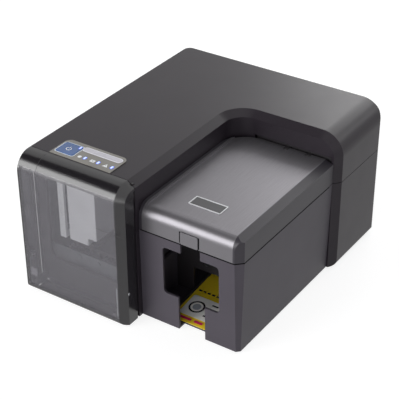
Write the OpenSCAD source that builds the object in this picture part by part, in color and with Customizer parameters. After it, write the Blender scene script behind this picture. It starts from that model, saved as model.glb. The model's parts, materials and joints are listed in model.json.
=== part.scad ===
// ID card printer: an L-shaped casing with a print bay behind a clear front door, a card hopper
// with a hinged lid beside it, and the feed, print and eject mechanism inside. Millimetres.
// Sizes are worked out with X from the tower's left side, Y from the door's face and Z from the
// casing's underside; place() then moves the origin to the middle of the base, under the feet.

/* [Casing] */
// Width over the rear block
body_w = 300; // [298:1:306]
// Depth from the door's face to the back
body_d = 359; // [355:1:380]
// Height of the tower above the casing's underside
body_h = 190; // [188:1:200]
// Width of the tower that holds the print bay
tower_w = 152.6; // [152:0.2:154]
// Depth of the block behind the hopper
rear_d = 115; // [112:1:118]
// Wall of the moulded casing
wall = 3; // [2.4:0.2:3.4]
// Height of the seam between the lower and upper casings
seam_z = 125; // [124:0.5:127]
// Width of the bevel along the upper edges
bevel_w = 9.8; // [8:0.2:11]
// Height of the bevel along the upper edges
bevel_h = 7.8; // [6:0.2:8.4]
// Radius of the rear block's rounded upper right edge
crown_r = 30; // [26:1:34]
// Radius of the inner corner between the tower and the rear block
inner_r = 27; // [24:1:30]
// Radius of the upright edges at the back
back_r = 9; // [6:0.5:12]
// Radius along the rear block's bottom right edge
base_r = 7; // [4:0.5:9]
// Height of the rubber feet
foot_h = 3; // [2:0.5:5]
// Diameter of the rubber feet
foot_d = 18; // [14:1:22]

/* [Door] */
// Depth of the clear door
door_d = 28; // [27:0.5:30]
// Wall of the clear door
door_wall = 3; // [2.4:0.2:3.2]
// Radius of the door's upper front edge
brow_r = 22.5; // [19:0.5:24]
// Radius of the door's bottom front edge
toe_r = 6.5; // [4:0.5:7]
// Diameter of the door's hinge pins
door_pin_d = 4; // [3:0.5:4.5]

/* [Hopper and lid] */
// Distance from the door's face to the hopper's face
hopper_y = 32.7; // [32:0.1:36]
// Width of the chamfer on the hopper's front right edge
nose_cut = 8.3; // [6:0.1:10]
// How much the hopper narrows towards its foot
draft = 2; // [1:0.25:2.5]
// Height of the lid above the seam
lid_h = 32; // [31:0.5:33]
// Radius of the lid's upper front edge
lid_front_r = 15; // [12:0.5:18]
// Width of the bevel on the lid's right edge
lid_bevel_w = 12; // [9:0.5:14]
// Height of the bevel on the lid's right edge
lid_bevel_h = 4.5; // [3:0.25:6]
// Width of the raised rim on the lid's left
rim_w = 7; // [5:0.5:8]
// Height of the raised rim on the lid's left
rim_h = 1.6; // [1:0.2:2.2]
// Wall of the lid
lid_wall = 2.6; // [2.2:0.2:3]
// Diameter of the lid's hinge pins
lid_pin_d = 4; // [3:0.5:4]
// Width of the latch tab
latch_w = 24; // [20:1:26]
// Height of the latch tab
latch_h = 17; // [15:0.5:17.5]
// Length of the plate on the lid
badge_w = 44; // [40:1:50]
// Depth of the plate on the lid
badge_d = 18.7; // [16:0.5:20]

/* [Front mouth] */
// Width of the mouth
mouth_w = 77.6; // [72:0.2:80]
// Height of the mouth's lower edge
mouth_z = 46.4; // [44:0.2:52]
// Height of the mouth
mouth_h = 65.2; // [60:0.2:66]
// Width of the finger notch above the mouth
upper_notch_w = 27; // [22:1:30]
// Width of the finger notch below the mouth
lower_notch_w = 37; // [28:1:38]
// How far the lower finger notch cuts back into the floor
lower_notch_d = 14; // [10:1:20]

/* [Cards] */
// Length of a card
card_l = 85.6; // [85:0.1:86]
// Width of a card
card_w = 54; // [53:0.1:54.4]
// Thickness of a card
card_t = 0.76; // [0.5:0.02:1]
// Corner radius of a card
card_r = 3.2; // [2.5:0.1:3.5]
// Blank cards in the stack
stack_count = 40; // [10:1:45]

/* [Control panel] */
// Width of the panel plate
panel_w = 89.4; // [88:0.2:92]
// Depth of the panel plate
panel_d = 36.5; // [35:0.5:38]
// Radius of the panel's rear corners
panel_r = 8; // [5:0.5:10]
// Width of the power key
key_w = 25.7; // [22:0.1:26]
// Depth of the power key
key_d = 22.9; // [20:0.1:24]
// Travel of the power key
key_travel = 1.2; // [0.8:0.1:1.4]

/* [Hidden] */
$fn = 64;

// Clearances
fit_gap = 0.3;      // between seated pieces
seam_gap = 0.8;     // between the casing's shells
pin_gap = 0.05;     // round a pin that turns

// Levels and lines of the casing
rear_y = body_d - rear_d;
bevel_z = body_h - bevel_h;
hopper_x0 = tower_w + fit_gap;
hopper_x1 = body_w - bevel_h;
hopper_y1 = rear_y - fit_gap;
lid_top = seam_z + lid_h;
corner_x = tower_w + inner_r;
corner_y = rear_y - inner_r;
far = body_w + body_d;

// Door hinge
hinge_y = 7.5;
hinge_z = 7.5;
lug_r = 4;
lug_w = 6;
arm_w = 2;
arm_len = 46;
arm_x = door_wall + fit_gap;
lug_x = arm_x + arm_w + 0.6;
door_side_y = door_d - 3.5;
screw_z = 45;
screw_y = 9.6;

// Lid hinge
lid_axis_y = rear_y - 2.6;
lid_axis_z = lid_top - 3.6;
lid_x0 = tower_w + 0.6;
lid_corner_r = 38;
lid_back_gap = 0.6;
lid_lug_x = [corner_x + 32.4, hopper_x1 - 30.2];
lid_lug_w = 12;
lid_lug_r = 3.4;

// Mouth and latch
mouth_x = (hopper_x0 + hopper_x1) / 2 + 1.65;
latch_x = mouth_x - 1;
lower_notch_x = mouth_x + 0.6;
latch_gap = 0.6;

// Things on top of the tower
panel_x = 28;
panel_t = 1;
key_x = panel_x + 3.4;
key_y = door_d + 6.4;
strip_d = 10;
strip_x = key_x + key_w;
strip_w = panel_x + panel_w - strip_x - 2.7;
strip_y = door_d + 22.4;
lamp_x = [panel_x + 44.9, panel_x + 64.4, panel_x + 84.3];
lamp_y = door_d + 10.8;
lamp_w = 1.6;
lamp_l = 5.2;

// Ways for a card through the walls between the tower and the hopper
card_plane = 60;
card_out_y = hopper_y + wall + 9.6 + card_w / 2;
shuttle_travel = 65;
card_in_y = card_out_y + shuttle_travel;
slot_w = card_w + 4;
slot_z = card_plane - 3;
slot_h = 8;

// Vent slots and back panel
vent_count = 8;
vent_y = 126;
vent_pitch = 9;
vent_w = 4;
vent_z = 18;
vent_h = 30;
fan_size = 60;
fan_t = 15;
fan_x = 20;
fan_hub_d = 24;
fan_blades = 7;
fan_pin_d = 3;
slat_count = 7;
slat_h = 4;
fan_z = 58;
fan_bore = fan_size - 4;
fan_cx = fan_x + fan_size / 2;
fan_cz = fan_z + fan_size / 2;
fan_y = body_d - wall - fit_gap - fan_t;
inlet_x = 112;
inlet_z = 16;
inlet_w = 28;
inlet_h = 20;
inlet_wall = 2.5;
board_x0 = corner_x - 14.6;
usb_x = board_x0 + 40;
usb_w = 12;
usb_h = 11;
net_x = usb_x + 25;
net_w = 16;
net_h = 13.5;
screw_d = 3.6;
head_inset = 0.3;
case_screw_d = 6;
screw_inset = 14;
case_screws_low = [[screw_inset, 20], [body_w - screw_inset, 20]];
case_screws_high = [[screw_inset, body_h - 22], [body_w - 50, body_h - 22]];
foot_inset = 24;
foot_spots = [[foot_inset - 2, 52], [body_w - 28, 72], [foot_inset - 2, body_d - foot_inset],
    [body_w - foot_inset, body_d - foot_inset]];

// Main board: its height, thickness and parts
board_top = 14;
board_t = 1.6;
board_x1 = body_w - 12;
board_y0 = rear_y + 18;
chips = [[25, 22, 24, 24, 3], [70, 18, 16, 14, 2]];
capacitor_x = board_x1 - 26;
capacitor_d = 8;
capacitor_h = 12;
panel_board_z = body_h - wall - 7;

// Print bay window
bezel_t = 3;
pocket_d = 4.6;
bay_x0 = 17;
bay_x1 = tower_w - 18.6;
bay_z0 = 36;
bay_z1 = body_h - 38;
bay_r = 8;

// Latch pivot, plate on the lid, casing's hinge lugs, key
latch_pin_d = 3;
latch_axis_y = hopper_y + lid_wall + 1.8;
latch_axis_z = seam_z + latch_h - 3.6;
plate_x = mouth_x - 4;
plate_y = hopper_y + 44.1;
plate_t = 0.8;
plate_rim = 1.2;
case_lug_w = 6;
case_lug_x = [lid_lug_x[0] + lid_lug_w + 0.6, lid_lug_x[1] - case_lug_w - 0.6];
key_r = 2.4;
key_rise = 0.6;
key_flange = 1.4;
key_flange_t = 0.8;
key_foot_z = body_h - wall - fit_gap - key_flange_t;
switch_gap = 0.4;

// Metal frames round the print bay
frame_t = 2;
frame_z0 = wall + fit_gap;
frame_x0 = 8;
frame_x1 = tower_w - wall - 2.6 - frame_t;
frame_y0 = door_d + bezel_t + 3.4;
frame_y1 = card_in_y + card_w / 2 + 16;
frame_h = body_h - 53;
post_w = 17;

// Shafts, rollers and gears
shaft_d = 6;
transport_x = frame_x1 - 7;
transport_r = 7;
pinch_r = 5;
pinch_d = 4;
pinch_z = card_plane + card_t + pinch_r + 0.2;
roller_w = 6;
roller_y = [card_out_y - 17, card_out_y + 17, card_in_y - 17, card_in_y + 17];
pick_x = mouth_x - 24.2;
pick_r = 9;
pick_z = card_plane - pick_r;
gear_m = 1;
gear_n = 30;
pinion_n = 12;
gear_w = 6;
gear_gap = 0.1;
mesh_angle = -60;
mesh_c = gear_m * (gear_n + pinion_n) / 2 + gear_gap;
pinion_x = pick_x + mesh_c * cos(mesh_angle);
pinion_z = pick_z + mesh_c * sin(mesh_angle);
feed_motor_d = 22;
motor_shaft_d = 3;

// Input bin
bin_y0 = card_out_y + card_w / 2 + 5;
bin_y1 = card_in_y + card_w / 2 + 7;
bin_t = 3;
bin_x0 = hopper_x0 + wall + fit_gap;
bin_x1 = hopper_x1 - draft - wall - fit_gap;
bin_top = seam_z - 7;
bin_floor_t = 4;
bin_slack = 1;
thumb_w = 40;
tunnel_h = 36;

// Ribbed output tray, which slopes up under the input bin
tray_slope = 6;
tray_x0 = mouth_x - 42;
tray_w = 64;
tray_y0 = hopper_y + wall + 9.6;
tray_y1 = tray_y0 + 100;
tray_rise = (tray_y1 - tray_y0) * tan(tray_slope);
tray_ribs = 6;
rib_t = 2;
tray_card_x = mouth_x - 37.2;
card_slip = 12;
pocket_x0 = mouth_x - card_l / 2 - bin_slack;
pocket_x1 = mouth_x + card_l / 2 + bin_slack;
gear_y = bin_y1 + 4;
card_pitch = card_t + 0.03;
stack_h = stack_count * card_pitch;
weight_t = 6;
weight_gap = 0.6;
grip_w = 28;
grip_t = 6;
grip_h = 18;

// Shuttle, rails and lead screw
shuttle_x = transport_x - transport_r - card_l / 2 - 0.2;
shuttle_t = 3.4;
rail_d = 8;
rail_z = 48;
rail_dx = 30;
block_w = 14;
screw_rod_d = 6;
drive_motor_d = 22;
drive_motor_l = 30;

// Power supply, behind the motors
supply_x0 = 12;
supply_w = 88;
supply_y0 = frame_y1 + frame_t + drive_motor_l + 20;
supply_d = body_d - wall - 10 - supply_y0;
supply_h = 46.7;
supply_slots = 6;
supply_pitch = 12;
slot_end = 18;

// Carriage and cartridge
rod_d = 8;
rod_y_line = card_out_y + 40;
slider_z = frame_z0 + frame_h - 4.3;
rod_z_line = slider_z - 36;
cart_x0 = shuttle_x - card_l / 2 - 4.2;
cart_w = 42;
cart_x1 = cart_x0 + cart_w;
cart_y0 = frame_y0 + frame_t + 2.5;
cart_d = 52;
cart_z0 = card_plane + 6;
cart_z1 = body_h - 41;
nozzle_z = card_plane + 3;
nozzle_x = [cart_x0 + 4, cart_x0 + 14];
carriage_x0 = cart_x0 - 7;
carriage_x1 = cart_x1 - 3;
back_t = 3;
bush_r = 8;
back_y = cart_y0 + cart_d + fit_gap;
clamp_x0 = cart_x0 - 14;
clamp_x1 = cart_x0 - 5;
clamp_z0 = cart_z0;
clamp_z1 = cart_z1 - 4;
clamp_pin_d = 3;
clamp_pin_y = cart_y0 + 8;
clamp_pin_z = clamp_z0 + 5;
rail_plate_y = rod_y_line + 10;
belt_y = rod_y_line + 23;
belt_z = rod_z_line + 13;
belt_w = 6;
belt_t = 1.2;
pulley_r = 8;
pulley_x = [frame_x0 + 16, frame_x1 - 16];
belt_motor_d = 24;
belt_motor_h = 28;
motor_gap = 6;
shelf_z = belt_z - 8;

// Where the print head parks, with its cap, station and waste ink pad
park_x = nozzle_x[0] - 13;
cap_x0 = park_x - 2.5;
cap_w = nozzle_x[1] - nozzle_x[0] + 5;
cap_l = 30;
cap_wall = 2;
cap_z = 44;
pad_h = 21.7;

body_color = "#565358";
dark_color = "#2b272b";
door_color = [0.42, 0.41, 0.43, 0.45];
steel_color = "#a9abad";

// Moves the casing's coordinates to the middle of the base, under the feet
module place() {
    translate([-body_w / 2, -body_d / 2, foot_h]) children();
}

// Extrudes a (Y, Z) outline along X
module along_x(x0, x1) {
    translate([x0, 0, 0]) rotate([90, 0, 90]) linear_extrude(x1 - x0) children();
}

// Extrudes an (X, Z) outline along Y
module along_y(y0, y1) {
    translate([0, y1, 0]) rotate([90, 0, 0]) linear_extrude(y1 - y0) children();
}

// Extrudes an (X, Y) outline along Z
module along_z(z0, z1) {
    translate([0, 0, z0]) linear_extrude(z1 - z0) children();
}

// A box between two corners
module span(a, b) {
    translate(a) cube(b - a);
}

// A rod along X, Y or Z from a point
module rod_x(p, l, d) {
    translate(p) rotate([0, 90, 0]) cylinder(h = l, d = d);
}

module rod_y(p, l, d) {
    translate(p) rotate([-90, 0, 0]) cylinder(h = l, d = d);
}

module rod_z(p, l, d) {
    translate(p) cylinder(h = l, d = d);
}

// A rectangle with round corners, made of squares and circles
module soft_rect(w, h, r) {
    union() {
        if (w > 2 * r) translate([r, 0]) square([w - 2 * r, h]);
        if (h > 2 * r) translate([0, r]) square([w, h - 2 * r]);
        for (x = [r, w - r], y = [r, h - r]) translate([x, y]) circle(r = r);
    }
}

// The space over the hopper that the tower and the rear block stand round, with its bevels.
// The walls stand back from it by the inset.
module yard(inset) {
    x = tower_w - inset;
    y = rear_y + inset;
    z = bevel_z - inset;
    r = inner_r + inset;
    difference() {
        along_z(-1, body_h + 1) polygon([[x, -1], [far, -1], [far, y], [x, y]]);
        difference() {
            span([x - 1, corner_y, -2], [corner_x, y + 1, body_h + 2]);
            rod_z([corner_x, corner_y, -3], body_h + 6, 2 * r);
        }
    }
    // the bevels run on past the top, so that no edge lies in its plane
    w = 2 * bevel_w;
    h = 2 * bevel_h;
    along_y(-1, corner_y) polygon([[x, z], [x - w, z + h], [x + 1, z + h], [x + 1, z]]);
    along_x(corner_x, far) polygon([[y, z], [y + w, z + h], [y - 1, z + h], [y - 1, z]]);
    intersection() {
        translate([corner_x, corner_y, z]) cylinder(h = h, r1 = r, r2 = r + w);
        span([0, corner_y, 0], [corner_x, body_d, body_h + 20]);
    }
}

// The rear block's right end: a bevel round its front edge and a big radius over its top edge
module rear_end(inset) {
    x = body_w - inset;
    y = rear_y + inset;
    y1 = body_d - inset;
    r = crown_r - inset;
    translate([body_w - crown_r, 0, body_h - crown_r]) rotate([90, 0, 0]) rotate_extrude()
        polygon([[0, -y], [r - bevel_h, -y], [r, -y - bevel_w], [r, -y1], [0, -y1]]);
    along_z(inset, body_h - crown_r)
        polygon([[body_w - 2 * crown_r, y], [x - bevel_h, y], [x, y + bevel_w], [x, y1],
            [body_w - 2 * crown_r, y1]]);
    along_x(body_w - 2 * crown_r, body_w - crown_r)
        polygon([[y, body_h - 2 * crown_r], [y, bevel_z - inset], [y + bevel_w, body_h - inset],
            [y1, body_h - inset], [y1, body_h - 2 * crown_r]]);
}

// The whole L-shaped casing behind the door, or its inside at an inset
module casing_form(inset) {
    intersection() {
        union() {
            difference() {
                span([inset, door_d + inset, inset],
                    [body_w - 2 * crown_r, body_d - inset, body_h - inset]);
                yard(inset);
            }
            rear_end(inset);
        }
        along_z(-1, body_h + 1) casing_plan(inset);
        along_y(0, body_d + 1) rear_foot(inset);
    }
}

// Outline seen from above, with round back corners
module casing_plan(inset) {
    w = body_w - 2 * inset;
    r = back_r - inset;
    translate([inset, 0]) union() {
        square([w, body_d - inset - r]);
        translate([r, 0]) square([w - 2 * r, body_d - inset]);
        for (x = [r, w - r]) translate([x, body_d - inset - r]) circle(r = r);
    }
}

// Outline seen from the front, with a round edge under the rear block's right end
module rear_foot(inset) {
    r = base_r - inset;
    translate([inset, inset]) union() {
        translate([0, r]) square([body_w - 2 * inset, body_h]);
        square([body_w - 2 * inset - r, body_h]);
        translate([body_w - 2 * inset - r, r]) circle(r = r);
    }
}

// The way of a card through a wall between two places along X
module card_way(x0, x1, y) {
    span([x0, y - slot_w / 2, slot_z], [x1, y + slot_w / 2, slot_z + slot_h]);
}

module lower_shell() {
    color(body_color) place() difference() {
        intersection() {
            casing_form(0);
            span([-1, 0, -1], [far, far, seam_z - seam_gap / 2]);
        }
        casing_form(wall);
        // front of the print bay
        span([wall, door_d - 1, wall], [tower_w - wall, door_d + wall + 1, seam_z]);
        // ways for a card between the tower and the hopper
        for (y = [card_out_y, card_in_y])
            card_way(tower_w - wall - 1, tower_w + 1, y);
        // back panel
        rear_cutouts();
        // vent slots low on the left side
        for (i = [0:vent_count - 1]) translate([0, vent_y + i * vent_pitch, vent_z])
            span([-1, 0, 0], [wall + 1, vent_w, vent_h]);
    }
}

module top_cover() {
    color(body_color) place() difference() {
        intersection() {
            casing_form(0);
            span([-1, 0, seam_z + seam_gap / 2], [far, far, body_h + 1]);
        }
        casing_form(wall);
        span([wall, door_d - 1, seam_z - 1], [tower_w - wall, door_d + wall + 1, body_h - wall]);
        // recess for the lid's hinge under the cover's lip
        span([corner_x, rear_y - 1, seam_z - 1], [hopper_x1 - wall, rear_y + wall + 1, lid_top + 3.5]);
        // well of the power key and seats of the lamps
        along_z(body_h - wall - 1, body_h + 1) {
            key_outline(fit_gap);
            lamp_outlines(0.15);
        }
        for (p = case_screws_high)
            rod_y([p[0], body_d - wall - 1, p[1]], wall + 2, case_screw_d + 2 * pin_gap);
    }
}

// The hopper's outside, or its inside at an inset
module hopper_form(inset) {
    intersection() {
        along_x(hopper_x0 + inset, hopper_x1 - inset) polygon([[hopper_y + draft + inset, 0],
            [hopper_y + inset, seam_z], [hopper_y + inset, seam_z + 1], [hopper_y1 - inset, seam_z + 1],
            [hopper_y1 - inset, 0]]);
        along_y(hopper_y, hopper_y1) polygon([[hopper_x0, 0], [hopper_x1 - draft - inset, 0],
            [hopper_x1 - inset, seam_z], [hopper_x1 - inset, seam_z + 1], [hopper_x0, seam_z + 1]]);
        along_z(inset, seam_z + (inset > 0 ? 1 : -seam_gap / 2)) difference() {
            nose_plan(inset);
            back_corner(hopper_x0 + inset, hopper_y1 - inset, inner_r - fit_gap - inset);
        }
    }
}

// What a round rear left corner takes off a plan
module back_corner(x, y, r) {
    difference() {
        translate([hopper_x0 - 2, y - r]) square([x + r - hopper_x0 + 2, r + 5]);
        translate([x + r, y - r]) circle(r = r);
    }
}

// The hopper seen from above, with the chamfer on its front right edge
module nose_plan(inset) {
    x = hopper_x1 - inset;
    y = hopper_y + inset;
    c = nose_cut - inset / 2;
    polygon([[hopper_x0 - 1, y], [x - c, y], [x, y + c], [x, rear_y], [hopper_x0 - 1, rear_y]]);
}

// Mouth and finger notches as one outline in X and Z
module mouth_outline() {
    translate([mouth_x - mouth_w / 2, mouth_z]) soft_rect(mouth_w, mouth_h, 5);
    translate([mouth_x - upper_notch_w / 2, mouth_z + mouth_h - 6])
        square([upper_notch_w, seam_z - mouth_z - mouth_h + 8]);
    translate([lower_notch_x - lower_notch_w / 2, -1]) square([lower_notch_w, mouth_z + 2]);
}

module hopper_shell() {
    color("#5b5960") place() difference() {
        union() {
            difference() {
                hopper_form(0);
                hopper_form(wall);
            }
            // ribs of the output tray
            for (i = [0:tray_ribs - 1]) translate([tray_x0 + i * (tray_w - rib_t) / (tray_ribs - 1), 0, 0])
                along_x(0, rib_t) polygon([[tray_y0, wall - 0.5], [tray_y0, wall],
                    [tray_y1, wall + tray_rise], [tray_y1, wall - 0.5]]);
        }
        along_y(hopper_y - 1, hopper_y + draft + wall + 0.6) mouth_outline();
        span([lower_notch_x - lower_notch_w / 2, hopper_y - 1, -1],
            [lower_notch_x + lower_notch_w / 2, hopper_y + lower_notch_d, wall + 1]);
        for (y = [card_out_y, card_in_y]) card_way(hopper_x0 - 1, hopper_x0 + wall + 1, y);
    }
}

// The tower's front as a closed shape: a chamfer up its right edge, carried over the round top
module nose_form(inset) {
    x = tower_w - inset;
    z = body_h - inset;
    r = brow_r - inset;
    y1 = door_d - seam_gap;
    intersection() {
        union() {
            along_z(0, body_h - brow_r) polygon([[inset, inset], [x - bevel_w, inset],
                [x, inset + bevel_h], [x, y1], [inset, y1]]);
            along_y(brow_r, y1) polygon([[inset, 0], [x, 0], [x, z - bevel_h], [x - bevel_w, z], [inset, z]]);
            translate([0, brow_r, body_h - brow_r]) rotate([90, 0, 90]) rotate_extrude()
                polygon([[0, inset], [r, inset], [r, x - bevel_w], [r - bevel_h, x], [0, x]]);
        }
        along_x(0, tower_w) nose_side(inset);
    }
}

// The door's side outline, with the round toe
module nose_side(inset) {
    r = toe_r - inset;
    translate([inset, inset]) union() {
        translate([0, r]) square([door_d - seam_gap - inset, body_h]);
        translate([r, 0]) square([door_d - seam_gap - inset - r, body_h]);
        translate([r, r]) circle(r = r);
    }
}

// Draws the children at the door's left and mirrored at its right, inside the chamfer
module both_sides() {
    children();
    translate([tower_w - bevel_w, 0, 0]) mirror([1, 0, 0]) children();
}

module front_door() {
    color(door_color) place() difference() {
        nose_form(0);
        difference() {
            nose_form(door_wall);
            span([-1, door_d - 1, body_h - door_wall], [far, door_d + 1, body_h]);
        }
        // the open back, up to the top wall's own edge
        span([door_wall, door_d - 2, door_wall], [tower_w - door_wall, door_d + 1, body_h - door_wall]);
        // the side walls stop short of the casing
        span([-1, door_side_y, -1], [tower_w + 1, door_d + 1, bevel_z - door_wall]);
        // the bottom wall is short, with slots for the casing's lugs
        span([door_wall, hinge_y + lug_r + 2, -1], [tower_w - door_wall, door_d + 1, door_wall + 1]);
        both_sides() span([lug_x - 0.6, door_wall + 0.4, -1],
            [lug_x + lug_w + 0.6, door_d, hinge_z]);
        for (x = [-1, tower_w - bevel_w])
            rod_x([x, screw_y, screw_z], bevel_w + 1, screw_d + 2 * pin_gap);
    }
}

module door_hinge_arms() {
    color(steel_color) place() both_sides() difference() {
        union() {
            span([arm_x, hinge_y - lug_r, hinge_z], [arm_x + arm_w, hinge_y + 6, hinge_z - lug_r + arm_len]);
            rod_x([arm_x, hinge_y, hinge_z], arm_w, 2 * lug_r);
        }
        rod_x([arm_x - 1, hinge_y, hinge_z], arm_w + 2, door_pin_d + 2 * pin_gap);
        rod_x([arm_x - 1, screw_y, screw_z], arm_w + 2, screw_d + 2 * pin_gap);
    }
}

module door_screws() {
    right_arm = tower_w - bevel_w - arm_x - arm_w;
    color("#c8cacc") place() {
        slotted_pin(head_inset, arm_x + arm_w + 0.5);
        translate([tower_w, 0, 0]) mirror([1, 0, 0]) slotted_pin(head_inset, tower_w - right_arm + 0.5);
    }
}

// A screw along X between two places, with a slot in its head
module slotted_pin(x0, x1) {
    difference() {
        rod_x([x0, screw_y, screw_z], x1 - x0, screw_d);
        span([x0 - 1, screw_y - screw_d, screw_z - 0.4], [x0 + 0.6, screw_y + screw_d, screw_z + 0.4]);
    }
}

module door_hinge_pins() {
    color("#c8cacc") place() both_sides()
        rod_x([door_wall + 0.15, hinge_y, hinge_z], lug_x + lug_w - door_wall, door_pin_d);
}

module bay_bezel() {
    x0 = wall + fit_gap;
    x1 = tower_w - wall - fit_gap;
    z1 = body_h - wall - fit_gap;
    y0 = door_d + fit_gap;
    color(dark_color) place() difference() {
        union() {
            span([x0, y0, x0], [x1, y0 + bezel_t, z1]);
            // pocket wall round the window
            along_y(y0, y0 + pocket_d) bay_outline(2);
            both_sides() {
                span([lug_x, hinge_y, hinge_z - lug_r], [lug_x + lug_w, y0 + 1, hinge_z + lug_r]);
                rod_x([lug_x, hinge_y, hinge_z], lug_w, 2 * lug_r);
            }
        }
        along_y(y0 - 1, y0 + pocket_d + 1) bay_outline(0);
        both_sides() rod_x([lug_x - 1, hinge_y, hinge_z], lug_w + 2, door_pin_d + 2 * pin_gap);
    }
}

// The print bay's window, or the outside of its pocket at a margin
module bay_outline(margin) {
    translate([bay_x0 - margin, bay_z0 - margin])
        soft_rect(bay_x1 - bay_x0 + 2 * margin, bay_z1 - bay_z0 + 2 * margin, bay_r + margin);
}

// The lid's side outline: a flat front that curves into the top
module lid_side(inset, top) {
    r = lid_front_r + (top - lid_top) - inset;
    y = hopper_y + inset;
    z = top - inset;
    union() {
        translate([y, 0]) square([rear_y - y + (inset > 0 ? far : -lid_back_gap), z - r]);
        translate([y + r, 0]) square([rear_y - y - r + (inset > 0 ? far : -lid_back_gap), z]);
        translate([y + r, z - r]) circle(r = r);
    }
}

// The lid seen from above: chamfered at the front right, round at the rear left
module lid_plan(inset) {
    x0 = lid_x0 + inset;
    r = lid_corner_r - inset;
    difference() {
        intersection() {
            nose_plan(inset);
            translate([x0, 0]) square([far, far]);
        }
        back_corner(x0, rear_y - lid_back_gap - inset, r);
    }
    if (inset > 0) translate([x0 + r, corner_y]) square([hopper_x1 - inset - x0 - r, far]);
}

// The lid as a closed shape, or its inside at an inset
module lid_form(inset) {
    z0 = inset > 0 ? 0 : seam_z + seam_gap / 2;
    x1 = hopper_x1 - inset;
    z1 = lid_top - inset;
    intersection() {
        union() {
            along_x(lid_x0 + inset, x1) lid_side(inset, lid_top);
            if (inset == 0) along_x(lid_x0, lid_x0 + rim_w) lid_side(0, lid_top + rim_h);
        }
        along_y(0, far) polygon([[lid_x0, z0], [x1, z0], [x1, z1 - lid_bevel_h], [x1 - lid_bevel_w, z1],
            [lid_x0 + rim_w + 1.4, z1], [lid_x0 + rim_w, z1 + rim_h], [lid_x0, z1 + rim_h]]);
        along_z(z0, lid_top + rim_h + 1) lid_plan(inset);
    }
}

module hopper_lid() {
    y = hopper_y + lid_wall;
    color("#77757a") place() difference() {
        union() {
            difference() {
                lid_form(0);
                lid_form(lid_wall);
            }
            // hinge lugs
            for (x = lid_lug_x) {
                span([x, lid_axis_y - 9, lid_axis_z], [x + lid_lug_w, lid_axis_y, lid_top - 0.5]);
                rod_x([x, lid_axis_y, lid_axis_z], lid_lug_w, 2 * lid_lug_r);
            }
            // bosses for the latch's pivot
            for (side = [-1, 1]) translate([latch_x + side * (latch_w / 2 + latch_gap + 2), 0, 0])
                span([-2, y - 1, latch_axis_z - 3], [2, latch_axis_y + 3, latch_axis_z + 3]);
        }
        // notches for the casing's lugs, at the lid's back edge
        for (x = case_lug_x)
            span([x - 0.5, lid_axis_y - lid_lug_r - 0.8, lid_axis_z - 9],
                [x + case_lug_w + 0.5, far, lid_top + 1]);
        for (x = lid_lug_x) rod_x([x - 1, lid_axis_y, lid_axis_z], lid_lug_w + 2, lid_pin_d + 2 * pin_gap);
        // notch and pivot bore of the latch
        along_y(hopper_y - 1, y + 0.4) translate([latch_x - latch_w / 2 - latch_gap, seam_z - 4])
            soft_rect(latch_w + 2 * latch_gap, latch_h + 4 + latch_gap, 2.5);
        rod_x([latch_x - latch_w, latch_axis_y, latch_axis_z], 2 * latch_w, latch_pin_d + 2 * pin_gap);
    }
}

module lid_latch() {
    color("#6b696d") place() {
        difference() {
            union() {
                along_y(hopper_y, hopper_y + lid_wall) translate([latch_x - latch_w / 2, seam_z + 0.6])
                    soft_rect(latch_w, latch_h - 0.6, 2);
                span([latch_x - latch_w / 2 + 2, hopper_y + 1, latch_axis_z - 2.4],
                    [latch_x + latch_w / 2 - 2, latch_axis_y + 2.4, latch_axis_z + 1.2]);
                // lip behind the tab's lower edge
                span([latch_x - latch_w / 2 + 3, hopper_y + 1, seam_z + 0.6],
                    [latch_x + latch_w / 2 - 3, hopper_y + lid_wall + 2.4, seam_z + 2.2]);
            }
            rod_x([latch_x - latch_w, latch_axis_y, latch_axis_z], 2 * latch_w, latch_pin_d);
        }
        rod_x([latch_x - latch_w / 2 - 4, latch_axis_y, latch_axis_z], latch_w + 8, latch_pin_d);
    }
}

module lid_plate() {
    color("#c2c3c5") place() translate([plate_x, plate_y, lid_top]) difference() {
        linear_extrude(plate_t) translate([-badge_w / 2, -badge_d / 2])
            soft_rect(badge_w, badge_d, plate_rim);
        translate([plate_rim - badge_w / 2, plate_rim - badge_d / 2, plate_t / 2])
            cube([badge_w - 2 * plate_rim, badge_d - 2 * plate_rim, plate_t]);
    }
}

module lid_hinge_pins() {
    color("#c8cacc") place() for (i = [0, 1])
        rod_x([min(lid_lug_x[i], case_lug_x[i]), lid_axis_y, lid_axis_z],
            max(lid_lug_x[i] + lid_lug_w, case_lug_x[i] + case_lug_w) - min(lid_lug_x[i], case_lug_x[i]),
            lid_pin_d);
}

module lid_hinge_bracket() {
    y = rear_y + wall + fit_gap;
    color(dark_color) place() difference() {
        union() {
            span([corner_x + 2, y, seam_z + 4], [hopper_x1 - wall - 2, y + 2.4, lid_top + 3]);
            for (x = case_lug_x) {
                span([x, lid_axis_y, lid_axis_z - lid_lug_r],
                    [x + case_lug_w, y + 1, lid_axis_z + lid_lug_r]);
                rod_x([x, lid_axis_y, lid_axis_z], case_lug_w, 2 * lid_lug_r);
            }
        }
        for (x = case_lug_x) rod_x([x - 1, lid_axis_y, lid_axis_z], case_lug_w + 2, lid_pin_d + 2 * pin_gap);
    }
}

module control_panel() {
    color("#8d8b84") place() difference() {
        along_z(body_h, body_h + panel_t) translate([panel_x, door_d + 0.6]) union() {
            square([panel_w, panel_d - panel_r]);
            translate([panel_r, 0]) square([panel_w - 2 * panel_r, panel_d]);
            for (x = [panel_r, panel_w - panel_r]) translate([x, panel_d - panel_r]) circle(r = panel_r);
        }
        along_z(body_h - 1, body_h + panel_t + 1) {
            key_outline(fit_gap);
            lamp_outlines(0.15);
        }
    }
}

// Outline of the power key, or of its well at a margin
module key_outline(margin) {
    translate([key_x - margin, key_y - margin])
        soft_rect(key_w + 2 * margin, key_d + 2 * margin, key_r + margin);
}

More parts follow.
